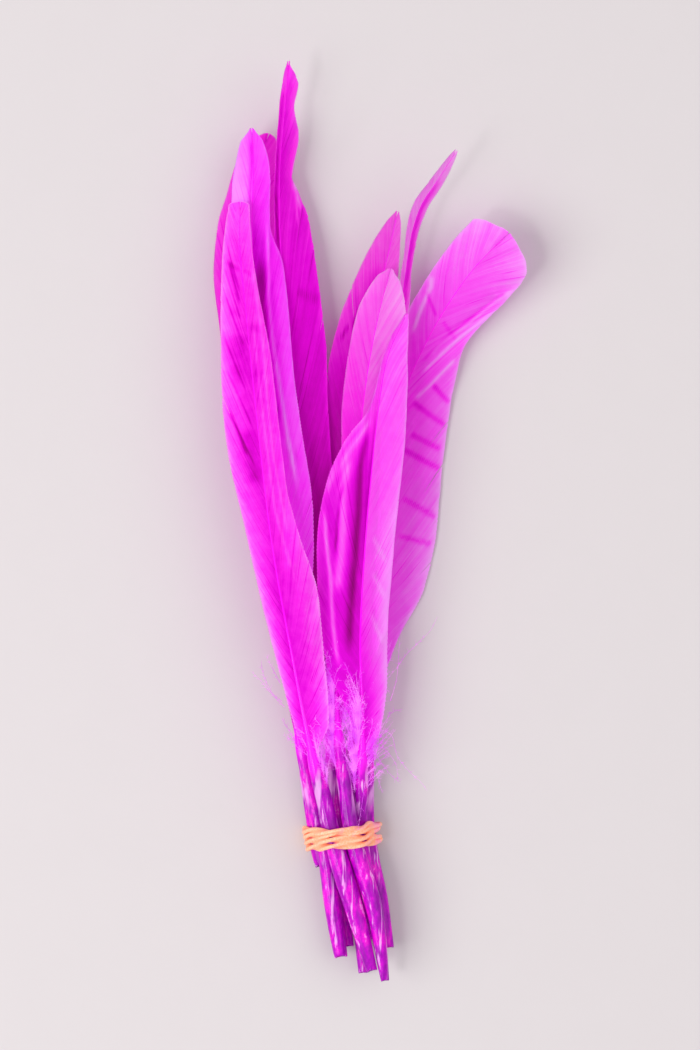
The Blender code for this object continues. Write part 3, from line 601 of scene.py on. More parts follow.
            ("right", ((0.8, 0.1), (0.78, 0.7)), 0.35, -0.14, 0.0),
        ),
        down=(("left", -6, 14, 20, 8, 20, 20), ("right", -4, 22, 34, 9, 30, 5)),
        wisps=(
            ((6.4, -32.6, 2.5), (8.4, -29.7, 2.5), (10.6, -27.5, 2.5), (13.9, -24.2, 2.0),
             (15.4, -21.3, 2.0)),
            ((5.1, -39.6, 3.0), (6.4, -35.2, 2.5), (7.0, -28.6, 2.0), (7.3, -22.0, 2.0)),
        ),
    ),
}


def joined_smoothly(rows, at):
    """The rows' columns at these places, on a smooth line that never overshoots a row."""
    rows = np.array(rows, float)
    x, y = rows[:, 0], rows[:, 1:]
    run = np.diff(x)
    rise = np.diff(y, axis=0) / run[:, None]
    slope = np.zeros_like(y)
    both = rise[:-1] * rise[1:]
    total = rise[:-1] + rise[1:]
    slope[1:-1] = np.where(both > 0, 2 * both / np.where(total == 0, 1, total), 0)
    at = np.clip(at, x[0], x[-1])
    i = np.clip(np.searchsorted(x, at, side="right") - 1, 0, len(run) - 1)
    t = ((at - x[i]) / run[i])[..., None]
    step = run[i][..., None]
    start = (1 + 2 * t) * (1 - t) ** 2 * y[i] + t * (1 - t) ** 2 * step * slope[i]
    end = t * t * (3 - 2 * t) * y[i + 1] + t * t * (t - 1) * step * slope[i + 1]
    return np.moveaxis(start + end, -1, 0)


def smoothstep(value):
    value = np.clip(value, 0, 1)
    return value * value * (3 - 2 * value)


def between(t, first, last, start, end):
    return ((last - t) * start + (t - first) * end) / (last - first)


def smooth_curve(points, steps=24):
    """Centripetal Catmull-Rom curve through the points, and the length along it."""
    points = np.array(points, float)
    p = np.vstack([2 * points[0] - points[1], points, 2 * points[-1] - points[-2]])
    k = np.r_[0, np.cumsum(np.sqrt(np.linalg.norm(np.diff(p, axis=0), axis=1)))]
    curve = []
    for i in range(len(points) - 1):
        for t in np.linspace(k[i + 1], k[i + 2], steps, endpoint=False):
            a = [between(t, k[i + j], k[i + j + 1], p[i + j], p[i + j + 1]) for j in range(3)]
            b = [between(t, k[i + j], k[i + j + 2], a[j], a[j + 1]) for j in range(2)]
            curve.append(between(t, k[i + 1], k[i + 2], b[0], b[1]))
    curve.append(points[-1])
    length = np.r_[0, np.cumsum(np.linalg.norm(np.diff(curve, axis=0), axis=1))]
    return np.array(curve), length


def unit(vectors):
    return vectors / np.linalg.norm(vectors, axis=-1, keepdims=True)


def read_off(at, places, vectors):
    """Vectors kept at these places, read off in between."""
    return np.stack([np.interp(at, places, vectors[:, k]) for k in range(3)], axis=-1)


class Feather:
    """The lengths, frames, widths and surface of one feather, in millimetres."""

    def __init__(self, row):
        self.row = row
        self.name = row["node"]
        self.look = LOOKS[self.name]
        curve, length = smooth_curve(row["shaft"])
        self.total = length[-1]
        self.vane_start = float(np.interp(row["vane_y"], curve[:, 1], length))
        self.tie = float(np.interp(BAND_Y, curve[:, 1], length))
        self.vane_length = self.total - self.vane_start
        ahead = unit(curve[-1] - curve[-12]) * PAST_TIP
        self.curve = np.vstack([curve, curve[-1] + ahead])
        self.length = np.r_[length, self.total + PAST_TIP]
        self.places = np.arange(0, self.total + PAST_TIP, 0.5)
        along = unit(self.point(self.places + 1) - self.point(np.maximum(self.places - 1, 0)))
        self.lefts = unit(np.cross((0, 0, 1), along))
        self.ups = np.cross(along, self.lefts)

    def point(self, s):
        return read_off(s, self.length, self.curve)

    def frame(self, s):
        """Unit vectors to the feather's left and up, square to the shaft."""
        return read_off(s, self.places, self.lefts), read_off(s, self.places, self.ups)

    def radius(self, s):
        end, tie, vane = self.row["radii"]
        full = QUILL_FULL * self.tie
        quill = tie - (tie - end) * np.clip(1 - s / full, 0, 1) ** 2
        quill = quill - (tie - vane) * np.clip((s - full) / (self.vane_start - full), 0, 1)
        fall = np.clip((s - self.vane_start) / self.vane_length, 0, 1)
        kept = SHAFT_KEPT * (1 - fall) + (1 - SHAFT_KEPT) * np.exp(-fall / SHAFT_EASE)
        shaft = SHAFT_TIP_RADIUS + (vane - SHAFT_TIP_RADIUS) * kept
        return np.where(s <= self.vane_start, quill, shaft)

    def vane(self, side, s):
        """The vane's reach and its slopes at the shaft and at the edge, in radians."""
        part = (s - self.vane_start) / self.vane_length
        reach, root, edge = joined_smoothly(self.row[side], part)
        tip = self.look["tip"]
        close = np.clip((s - self.total + tip) / (tip + TIP_OVERHANG), 0, 1)
        return reach * np.sqrt(1 - close**2), np.radians(root), np.radians(edge)

    def surface(self, side, s, across):
        """Places on the vane, at these distances sideways from the middle of the shaft."""
        radius = self.radius(s)
        reach, root, edge = self.vane(side, s)
        start, rise = VANE_FOOT * radius, VANE_FOOT_RISE * radius
        span = np.maximum(reach - start, LEAST_SPAN)
        part = np.clip((across - start) / span, 0, 1.2)
        up = rise + span * part * np.tan(root + (edge - root) * part / 2)
        tilt = root + (edge - root) * part
        hand = 1 if side == "left" else -1
        left, above = self.frame(s)
        place = self.point(s) + left * (hand * across)[..., None] + above * up[..., None]
        normal = above * np.cos(tilt)[..., None] - left * (hand * np.sin(tilt))[..., None]
        return place, normal


def wander(rng, at, step):
    """Smooth random values between -1 and 1, with a new one every step."""
    count = int(np.max(at) / step) + 3
    values = rng.uniform(-1, 1, count)
    i = np.floor(at / step).astype(int)
    t = smoothstep(at / step - i)
    return values[i] * (1 - t) + values[i + 1] * t


def wave(rng, at, height, step):
    return height * wander(rng, at, step)


def web_ends(feather, side, count, rng):
    """Where the vane is parted: barbs, how wide each gap opens, and where across it starts."""
    ends, gaps, starts = [0], [0.0], [0.5]
    i = 0
    while True:
        i += int(rng.integers(*WEB_BARBS))
        if i > count - WEB_MARGIN:
            break
        ends.append(i)
        gaps.append(float(feather.look["ragged"] * rng.uniform(0.05, 1.0) ** 2))
        starts.append(float(rng.uniform(*GAP_OPENS)))
    for split_side, part, start, gap in feather.look["splits"]:
        if split_side != side:
            continue
        i = int(part * count)
        near = int(np.argmin(np.abs(np.array(ends) - i)))
        if near and abs(ends[near] - i) < SPLIT_SNAP:
            ends[near], gaps[near], starts[near] = i, gap, start
        else:
            ends.append(i)
            gaps.append(gap)
            starts.append(start)
    order = np.argsort(ends)
    return (np.array(row)[order].tolist() + [last]
            for row, last in ((ends, count), (gaps, 0.0), (starts, 0.5)))


def barb_columns(feather, side, count, rng):
    """Mesh columns of a vane: barb number, part of its web, and the gaps on each side."""
    ends, gaps, starts = web_ends(feather, side, count, rng)
    columns = []
    for k in range(len(ends) - 1):
        first, last = ends[k], ends[k + 1]
        lift = rng.uniform(-1, 1)
        for half in range(2 * (last - first) + 1):
            place = half / (2 * (last - first))
            near = k if place < 0.5 else k + 1
            columns.append(
                (first + half / 2, place, gaps[k], gaps[k + 1], starts[near], lift, k)
            )
    return np.array(columns).T


def distance_to(points, x, y):
    """Distance from each place to a line through the points, and the part run along it."""
    best = np.full(x.shape, 1e9)
    run = np.zeros(x.shape)
    legs = [math.dist(a, b) for a, b in zip(points, points[1:])]
    done = 0.0
    for (ax, ay), (bx, by), leg in zip(points, points[1:], legs):
        t = np.clip(((x - ax) * (bx - ax) + (y - ay) * (by - ay)) / leg**2, 0, 1)
        away = np.hypot(x - ax - t * (bx - ax), y - ay - t * (by - ay))
        run = np.where(away < best, (done + t * leg) / sum(legs), run)
        best = np.minimum(best, away)
        done += leg
    return best, run


def marked(feather, side, s, across, reach):
    """Change of dye and rise of the surface from the feather's creases, folds and bars; on creases
    and folds the change of dye paints their shade and highlights.
    """
    dye, rise = np.zeros(s.shape), np.zeros(s.shape)
    full = np.maximum(reach, LEAST_REACH)
    for mark_side, points, width, change, height in feather.look["marks"]:
        if mark_side != side:
            continue
        line = []
        for part, out in points:
            at = feather.vane_start + part * feather.vane_length
            line.append((at, out * float(feather.vane(side, np.array([at]))[0][0])))
        away, run = distance_to(line, s, across * full)
        weight = np.exp(-((away / width) ** 2)) * smoothstep(MARK_EASE * run)
        weight = weight * smoothstep(MARK_EASE * (1 - run))
        dye += change * weight
        rise += height * weight
    return dye, rise


def parted_lines(feather, barb, out, rng):
    """Painted shade: thin dark lines where two barbs stand a little apart, along part of their
    length.
    """
    count = int(barb[-1]) + 1
    apart = rng.random(count) < feather.look["parted"]
    depth = np.where(apart, rng.uniform(*PARTED_SHADE_DEPTH, count), 0)
    middle = rng.uniform(*PARTED_MIDDLE, count)
    reach = rng.uniform(*PARTED_REACH, count)
    here = np.minimum(np.round(barb).astype(int), count - 1)
    groove = np.abs(barb - here) < PARTED_WIDTH
    return depth[here] * groove * np.exp(-(((out - middle[here]) / reach[here]) ** 2))


def vane_grid(feather, side, sizes, rng):
    """Places, dye and pattern places of one vane's mesh, row by row from the shaft out."""
    pitch = sizes.barb_pitch / MM
    count = int((feather.vane_length - LAST_BARB) / pitch)
    barb, place, gap_below, gap_above, opening, lift, web = barb_columns(feather, side, count, rng)
    out = np.linspace(0, 1, feather.look.get("rows", VANE_ROWS))[:, None]
    root = feather.vane_start + barb * pitch
    reach = feather.vane(side, root)[0]
    slant_base, slant_tip = feather.look["barbs"]
    turned = smoothstep(barb / count * SLANT_TURN)
    slant = np.radians(slant_base + (slant_tip - slant_base) * turned)
    slant = slant * (1 + wave(rng, barb, *SLANT_WAVE))
    leaning = np.clip((root - feather.vane_start) / BASE_RUN, LEAST_SWEEP, 1)
    sweep = reach / np.tan(slant) * leaning
    room = feather.total + TIP_OVERHANG - root
    edge = root + room * (1 - np.exp(-sweep / room))
    edge_reach = feather.vane(side, edge)[0]
    ridge = 1 - np.abs(2 * (barb % 1) - 1)
    long = 1 + feather.look["ragged"] * wave(rng, barb, *LENGTH_WAVE)
    start = VANE_FOOT * feather.radius(root)
    tip_reach = np.maximum(edge_reach * long - EDGE_TOOTH * (1 - ridge), start + 0.1)
    s = root + (edge - root) * out**BARB_BEND
    across = start + (tip_reach - start) * out
    opened = smoothstep((out - opening) / (1 - opening))
    s = s + (gap_below * (1 - place) - gap_above * place) / 2 * opened
    points, normals = feather.surface(side, s, across)
    full = np.maximum(feather.vane(side, s)[0], edge_reach * 0.5)
    part_across = np.clip(across / np.maximum(full, LEAST_REACH), 0, 1)
    # On creases and folds the change of dye is painted shade and highlight that follow their rise;
    # the rest are dye bars and patches
    dye, rise = marked(feather, side, s, part_across, full)
    rise = rise + BARB_RIDGE * (2 * ridge - 1)
    for surface_wave in SURFACE_WAVES:
        rise = rise + wave(rng, barb, *surface_wave) * out
    rise = rise + WEB_TILT * lift * (place - 0.5) * out**TILT_CURVE
    along = (s - feather.vane_start) / feather.vane_length
    # The dye tables hold dye strength together with painted light and shade on the vane
    near, far = joined_smoothly(feather.look[side], along)
    dye = dye + near + (far - near) * part_across**DYE_CURVE
    # Paler very edge: thinner barb tips with a painted edge highlight
    dye = dye + EDGE_PALE_AND_HIGHLIGHT * part_across**EDGE_SHARPNESS
    waves = sum(wave(rng, barb, *dye_wave) for dye_wave in DYE_WAVES)
    dye = dye + waves * (WAVE_AT_SHAFT + (1 - WAVE_AT_SHAFT) * out)
    # Painted shade lines where barbs stand apart
    dye = dye - parted_lines(feather, barb, out, rng)
    points = points + normals * rise[..., None]
    pattern = np.stack(np.broadcast_arrays(barb, out, s), axis=-1)
    return points, dye, pattern, web


def grid_object(name, columns, rows):
    """A flat grid of columns by rows points, named and ready to be shaped."""
    bpy.ops.object.select_all(action="DESELECT")
    bpy.ops.mesh.primitive_grid_add(x_subdivisions=columns - 1, y_subdivisions=rows - 1, size=1)
    obj = bpy.context.object
    obj.name = obj.data.name = name
    return obj


def set_points(mesh, points):
    places = (points.reshape(-1, 3) + SHIFT) * MM
    mesh.vertices.foreach_set("co", places.ravel().astype(np.float32))


def read_field(items, field, kind=np.int32, width=1):
    values = np.empty(len(items) * width, kind)
    items.foreach_get(field, values)
    return values


def add_attribute(mesh, name, kind, values):
    attribute = mesh.attributes.new(name, kind, "POINT")
    field = "vector" if kind == "FLOAT_VECTOR" else "value"
    attribute.data.foreach_set(field, np.ascontiguousarray(values, np.float32).ravel())


def select_only(*objects):
    bpy.ops.object.select_all(action="DESELECT")
    for obj in objects:
        obj.select_set(True)
    bpy.context.view_layer.objects.active = objects[0]


def weld():
    """Merges the seam and the closed ends, and points the faces outwards."""
    bpy.ops.object.mode_set(mode="EDIT")
    bpy.ops.mesh.select_all(action="SELECT")
    bpy.ops.mesh.remove_doubles(threshold=WELD)
    bpy.ops.mesh.normals_make_consistent(inside=False)
    bpy.ops.object.mode_set(mode="OBJECT")


def drop_bridges(obj, web):
    """Deletes the faces between two webs, so that the vane is parted there."""
    columns = len(web)
    parted = np.nonzero(np.diff(web))[0]
    bpy.ops.object.mode_set(mode="EDIT")
    bpy.ops.mesh.select_all(action="DESELECT")
    bpy.ops.object.mode_set(mode="OBJECT")
    faces = np.arange(len(obj.data.polygons))
    obj.data.polygons.foreach_set("select", np.isin(faces % (columns - 1), parted))
    bpy.ops.object.mode_set(mode="EDIT")
    bpy.ops.mesh.select_mode(type="FACE")
    bpy.ops.mesh.delete(type="ONLY_FACE")
    bpy.ops.object.mode_set(mode="OBJECT")


def vane_side(feather, side, sizes, rng):
    points, dye, pattern, web = vane_grid(feather, side, sizes, rng)
    rows, columns = dye.shape
    obj = grid_object(f"{feather.name}_{side}", columns, rows)
    mesh = obj.data
    set_points(mesh, points)
    add_attribute(mesh, "dye", "FLOAT", dye)
    add_attribute(mesh, "barb_place", "FLOAT_VECTOR", pattern)
    add_attribute(mesh, "hand", "FLOAT", np.full(dye.shape, 0.0 if side == "left" else 1.0))
    drop_bridges(obj, web)
    if side == "left":
        mesh.flip_normals()
    wall = obj.modifiers.new("wall", "SOLIDIFY")
    wall.thickness = sizes.vane_thickness
    wall.offset = 0.0
    bpy.ops.object.modifier_apply(modifier=wall.name)
    return obj


def join(objects, name):
    select_only(*objects)
    bpy.ops.object.join()
    objects[0].name = objects[0].data.name = name
    return objects[0]


def strip_map(mesh, along, across, strip, strips):
    """Lays the faces out in strips side by side, in a map named OFBake."""
    layer = mesh.uv_layers.new(name="OFBake")
    corner = read_field(mesh.loops, "vertex_index")
    strip = np.repeat(strip, read_field(mesh.polygons, "loop_total"))
    end, side = MAP_MARGIN
    u = end + (1 - 2 * end) * along[corner]
    v = (strip + side + (1 - 2 * side) * across[corner]) / strips
    layer.data.foreach_set("uv", np.stack([u, v], axis=-1).astype(np.float32).ravel())


def wrap_map(mesh, shape):
    """Lays out a tube made of rings of points as one strip."""
    rings, sides = shape
    along = np.broadcast_to((np.arange(rings) / (rings - 1))[:, None], shape)
    around = np.broadcast_to(np.arange(sides) / (sides - 1), shape)
    strip_map(mesh, along.ravel(), around.ravel(), np.zeros(len(mesh.polygons)), 1)


def finish_piece(obj, node, material, smooth=True):
    """Gives a piece its material and smooth shading, hangs it on the body and hides the solid it
    stands for.
    """
    obj.data.materials.clear()
    obj.data.materials.append(material)
    if smooth:
        select_only(obj)
        bpy.ops.object.shade_smooth_by_angle(angle=math.radians(SHARP_ANGLE))
    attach(obj, BODY)
    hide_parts(node)
    return obj


def make_vane(feather, sizes, material):
    rng = np.random.default_rng(feather.look["seed"])
    sides = [vane_side(feather, side, sizes, rng) for side in ("left", "right")]
    obj = join(sides, feather.name.replace("feather", "vane"))
    mesh = obj.data
    place = read_field(mesh.attributes["barb_place"].data, "vector", np.float32, 3).reshape(-1, 3)
    hand = read_field(mesh.attributes["hand"].data, "value", np.float32)
    normal = read_field(mesh.polygons, "normal", np.float32, 3).reshape(-1, 3)
    corner = read_field(mesh.loops, "vertex_index")
    first = read_field(mesh.polygons, "loop_start")
    strip = 2 * hand[corner[first]] + (normal[:, 2] < 0)
    along = np.clip((place[:, 2] - feather.vane_start) / (feather.vane_length + 2), 0, 1)
    strip_map(mesh, along, place[:, 1], strip, 4)
    mesh.attributes.remove(mesh.attributes["hand"])
    return finish_piece(obj, feather.name, material)


def make_quill(feather, material):
    """The bare quill and the shaft that carries the barbs, hollow at its cut end."""
    rng = np.random.default_rng(feather.look["seed"] + SEED_OF_QUILL)
    # Rings from the end of the bore out to its mouth, and from there along the outside
    inside = np.array((BORE_DEPTH, 0.6 * BORE_DEPTH, 0.2, 0.0))
    rings = np.arange(1.0, feather.total - 1.0, QUILL_STEP)
    outside = np.r_[0.0, 0.25, rings, feather.total - 0.8]
    s = np.r_[inside, outside]
    wall = QUILL_WALL / feather.radius(np.zeros(1))[0]
    scale = np.r_[0.0, 0.75, 1 - wall, 1 - 0.85 * wall, 0.93, np.ones(len(outside) - 2), 0.0]
    lead = smoothstep((s - feather.vane_start + SHAFT_LEAD) / SHAFT_TURN)
    turn = np.linspace(0, 2 * math.pi, QUILL_SIDES + 1)
    x, z = np.cos(turn), np.sin(turn)
    groove = SHAFT_GROOVE * np.exp(-((x / SHAFT_GROOVE_WIDTH) ** 2)) * (z < 0)
    height = z * np.where(z > 0, SHAFT_TOP, SHAFT_BELOW) * (1 - groove)
    radius = (feather.radius(s) * scale)[:, None]
    sideways = radius * x * (1 - SHAFT_NARROWER * lead[:, None])
    up = radius * (z * (1 - lead[:, None]) + height * lead[:, None])
    slant = CUT_SLANT * feather.radius(np.zeros(1))[0] * np.exp(-s / CUT_EASE)[:, None]
    shifted = np.clip(s[:, None] + slant * z, 0, None)
    dent = 1 + wave(rng, s, QUILL_DENT, DENT_STEP)[:, None]
    left, above = feather.frame(shifted)
    points = feather.point(shifted)
    points = points + left * (sideways * dent)[..., None] + above * up[..., None]
    obj = grid_object(feather.name.replace("feather", "quill"), len(turn), len(s))
    mesh = obj.data
    set_points(mesh, points)
    part = np.clip(s / feather.vane_start, 0, 1) + np.clip(
        (s - feather.vane_start) / feather.vane_length, 0, 1
    )
    add_attribute(mesh, "part", "FLOAT", np.broadcast_to(part[:, None], points.shape[:2]))
    wrap_map(mesh, points.shape[:2])
    weld()
    return finish_piece(obj, feather.name, material)


def fibre_mesh(paths, radii):
    """Closed three-sided fibres along the paths, each drawn out to a point."""
    count, steps = paths.shape[:2]
    along = unit(np.gradient(paths, axis=1))
    side = unit(np.cross(along, (0.31, 0.17, 0.93)))
    above = np.cross(along, side)
    turn = np.arange(3) * 2 * math.pi / 3
    ring = side[:, :, None] * np.cos(turn)[:, None] + above[:, :, None] * np.sin(turn)[:, None]
    points = paths[:, :, None] + ring * radii[:, :, None, None]
    tips = paths[:, -1] + along[:, -1] * FIBRE_POINT
    points = np.concatenate([points.reshape(count, steps * 3, 3), tips[:, None]], axis=1)
    faces = [(2, 1, 0)]
    for k in range(steps - 1):
        for i in range(3):
            j = (i + 1) % 3
            a, b = 3 * k + i, 3 * k + j
            faces += [(a, b, b + 3), (a, b + 3, a + 3)]
    last = 3 * (steps - 1)
    faces += [(last + i, last + (i + 1) % 3, 3 * steps) for i in range(3)]
    faces = np.array(faces)
    size = 3 * steps + 1
    faces = (faces[None] + (np.arange(count) * size)[:, None, None]).reshape(-1, 3)
    return points.reshape(-1, 3), faces


def curled_paths(rng, start, heading, length, steps, curl, droop):
    """Paths that leave start along heading, wander and sink a little."""
    count = len(start)
    step = (length / steps)[:, None]
    turning = rng.normal(0, curl, (count, 3))
    paths, heading = [start], unit(heading)
    for _ in range(steps - 1):
        turning = turning * CURL_KEPT + rng.normal(0, curl * CURL_ADDED, (count, 3))
        heading = unit(heading + turning * step + np.array((0, 0, -droop)) * step)
        paths.append(paths[-1] + heading * step)
    return np.stack(paths, axis=1)


def barbules(rng, paths, length, every):
    """Short side fibres along the outer part of each path."""
    count, steps = paths.shape[:2]
    k = rng.integers(1, steps - 1, (count, every))
    rows = np.arange(count)[:, None]
    start = paths[rows, k]
    along = unit(paths[rows, k + 1] - paths[rows, k - 1])
    away = unit(np.cross(along, rng.normal(0, 1, (count, every, 3))))
    heading = unit(along * rng.uniform(*BARBULE_LEAN, (count, every, 1)) + away)
    size = length * rng.uniform(*BARBULE_LENGTHS, (count, every))
    return start.reshape(-1, 3), heading.reshape(-1, 3), size.ravel()


def make_down(feather, sizes, material):
    """Loose down and stray barbs about the foot of the vanes."""
    rng = np.random.default_rng(feather.look["seed"] + SEED_OF_DOWN)
    strands = []
    for side, first, last, count, length, slant, rise in feather.look["down"]:
        s = feather.vane_start + rng.uniform(first, last, count)
        hand = 1 if side == "left" else -1
        left, above = feather.frame(s)
        ahead = np.cross(left, above)
        radius = feather.radius(s)[:, None]
        out, up = DOWN_ROOT
        start = feather.point(s) + left * hand * radius * out + above * radius * up
        lean = np.radians(slant + rng.normal(0, DOWN_SPREAD[0], count))[:, None]
        lifted = np.radians(rise + rng.normal(0, DOWN_SPREAD[1], count))[:, None]
        heading = ahead * np.cos(lean) + left * hand * np.sin(lean) * np.cos(lifted)
        heading = heading + above * np.sin(lean) * np.sin(lifted)
        long = length * rng.uniform(*DOWN_LENGTHS, count)
        strands.append(
            curled_paths(rng, start, heading, long, DOWN_STEPS, DOWN_CURL, DOWN_DROOP)
        )
    for points in feather.look.get("wisps", ()):
        curve, length = smooth_curve(points)
        even = np.linspace(0, length[-1], DOWN_STEPS)
        strands.append(read_off(even, length, curve)[None])
    paths = np.concatenate(strands)
    paths[:, :, 2] = np.maximum(paths[:, :, 2], DOWN_LOWEST)
    taper = np.linspace(1, DOWN_TIP, DOWN_STEPS)[None]
    thick = sizes.down_thickness / MM / 2
    points, faces = fibre_mesh(paths, np.broadcast_to(taper * thick, paths.shape[:2]))
    start, heading, size = barbules(rng, paths, sizes.barbule_length / MM, BARBULES)
    hairs = curled_paths(rng, start, heading, size, BARBULE_STEPS, BARBULE_CURL, 0.0)
    hairs[:, :, 2] = np.maximum(hairs[:, :, 2], BARBULE_LOWEST)
    thin = np.broadcast_to(np.array(BARBULE_TAPER) * thick, hairs.shape[:2])
    more, more_faces = fibre_mesh(hairs, thin)
    mesh = bpy.data.meshes.new(feather.name.replace("feather", "down"))
    every = np.concatenate([points, more])
    faces = np.concatenate([faces, more_faces + len(points)])
    mesh.from_pydata(((every + SHIFT) * MM).tolist(), [], faces.tolist())
    obj = bpy.data.objects.new(mesh.name, mesh)
    bpy.context.scene.collection.objects.link(obj)
    parts = np.linspace(0, 1, len(every))
    strip_map(mesh, parts, np.zeros(len(every)), np.zeros(len(mesh.polygons)), 1)
    return finish_piece(obj, feather.name, material, smooth=False)


def tight_loop(feathers):
    """A line drawn tight round the quills at the tie, from the left side over the top."""
    discs = []
    for feather in feathers:
        s = np.array([np.interp(BAND_Y, feather.curve[:-1, 1], feather.length[:-1])])
        x, _, z = feather.point(s)[0]
        discs.append((x, z, feather.radius(s)[0]))
    discs = np.array(discs)
    turn = np.radians(np.arange(180, -180, -1.0))
    outwards = np.stack([np.cos(turn), np.sin(turn)], axis=-1)
    reach = outwards @ discs[:, :2].T + discs[:, 2]
    held = discs[np.argmax(reach, axis=1)]
    off = held[:, 2] + BAND_SLACK * np.maximum(0, -outwards[:, 1]) + BAND_THICKNESS / 2
    loop = held[:, :2] + outwards * off[:, None]
    loop[:, 1] = np.maximum(loop[:, 1], BAND_THICKNESS / 2 - SHIFT[2])
    return np.vstack([loop, loop[:1]])


def smoothed(closed_line, span):
    """A closed line of places with each one averaged over its neighbours."""
    soft = np.hanning(span + 2)[1:-1]
    half = span // 2
    wrapped = np.vstack([closed_line[-half:], closed_line, closed_line[:half]])
    lines = [np.convolve(wrapped[:, k], soft / soft.sum(), "valid") for k in range(3)]
    return np.stack(lines, axis=-1)


def band_line(feathers):
    """The middle of the band's strand along all its turns, and the way out from the quills."""
    loop = tight_loop(feathers)
    length = np.r_[0, np.cumsum(np.linalg.norm(np.diff(loop, axis=0), axis=1))]
    rows = np.array(BAND_PATH, float)
    wound = np.linspace(0, rows[-1, 0], BAND_STEPS, endpoint=False)
    along, out = joined_smoothly(rows, wound)
    at = wound % 1 * length[-1]
    x, z = (np.interp(at, length, loop[:, k]) for k in (0, 1))
    middle = loop[:-1].mean(axis=0)
    up = BUNDLE_FLATNESS * (z - middle[1])
    outwards = unit(np.stack([x - middle[0], np.zeros_like(x), up], axis=-1))
    line = np.stack([x + BAND_SHEAR * along, BAND_Y + along, z], axis=-1)
    line = smoothed(line + outwards * out[:, None], BAND_SMOOTHING)
    line[:, 2] = np.maximum(line[:, 2], BAND_THICKNESS / 2 - SHIFT[2])
    return wound, line, outwards


def make_band(feathers, material):
    """One long loop of flat rubber wound four turns, its strands crossing on top."""
    wound, line, outwards = band_line(feathers)
    ahead = unit(np.roll(line, -1, axis=0) - np.roll(line, 1, axis=0))
    wide = unit(np.cross(ahead, outwards))
    outwards = np.cross(wide, ahead)
    twist = wound * 2 * math.pi * BAND_TWISTS / wound[-1]
    turn = np.linspace(0, 2 * math.pi, BAND_SIDES + 1)
    x = np.cos(turn) * BAND_WIDTH / 2
    waist = 1 - BAND_WAIST * np.sin(turn) ** WAIST_NARROWNESS
    z = np.sin(turn) * waist * BAND_THICKNESS / 2
    c, s = np.cos(twist)[:, None], np.sin(twist)[:, None]
    x, z = x * c - z * s, x * s + z * c
    points = line[:, None] + wide[:, None] * x[..., None] + outwards[:, None] * z[..., None]
    points = np.concatenate([points, points[:1]])
    points[:, :, 2] = np.maximum(points[:, :, 2], -SHIFT[2])
    obj = grid_object("rubber_band", len(turn), len(points))
    mesh = obj.data
    set_points(mesh, points)
    shape = points.shape[:2]
    # Where the two strands meet; the rubber is darkened there as painted shade
    groove = np.broadcast_to(np.sin(turn) ** RUBBER_SHADE_NARROWNESS, shape)
    add_attribute(mesh, "groove", "FLOAT", groove)
    wrap_map(mesh, shape)
    weld()
    return finish_piece(obj, "rubber_band", material)


class Value:
    """A socket of a shader node. Arithmetic on it adds the Math nodes that do it."""

    def __init__(self, shader, socket):
        self.shader = shader
        self.socket = socket

    def math(self, operation, *others):
        return self.shader.node("Math", dict(operation=operation), self, *others)

    def __add__(self, other):
        return self.math("ADD", other)

    def __radd__(self, other):
        return self.math("ADD", other)

    def __sub__(self, other):
        return self.math("SUBTRACT", other)

    def __rsub__(self, other):
        return self.shader.node("Math", dict(operation="SUBTRACT"), other, self)

    def __mul__(self, other):
        return self.math("MULTIPLY", other)

    def __rmul__(self, other):
        return self.math("MULTIPLY", other)

    def clamped(self, most=1.0):
        return self.math("MAXIMUM", 0.0).math("MINIMUM", most)

    def past(self, start, steepness, most=1.0):
        """0 up to the start, then rising by this steepness to the most."""
        return ((self - start) * steepness).clamped(most)


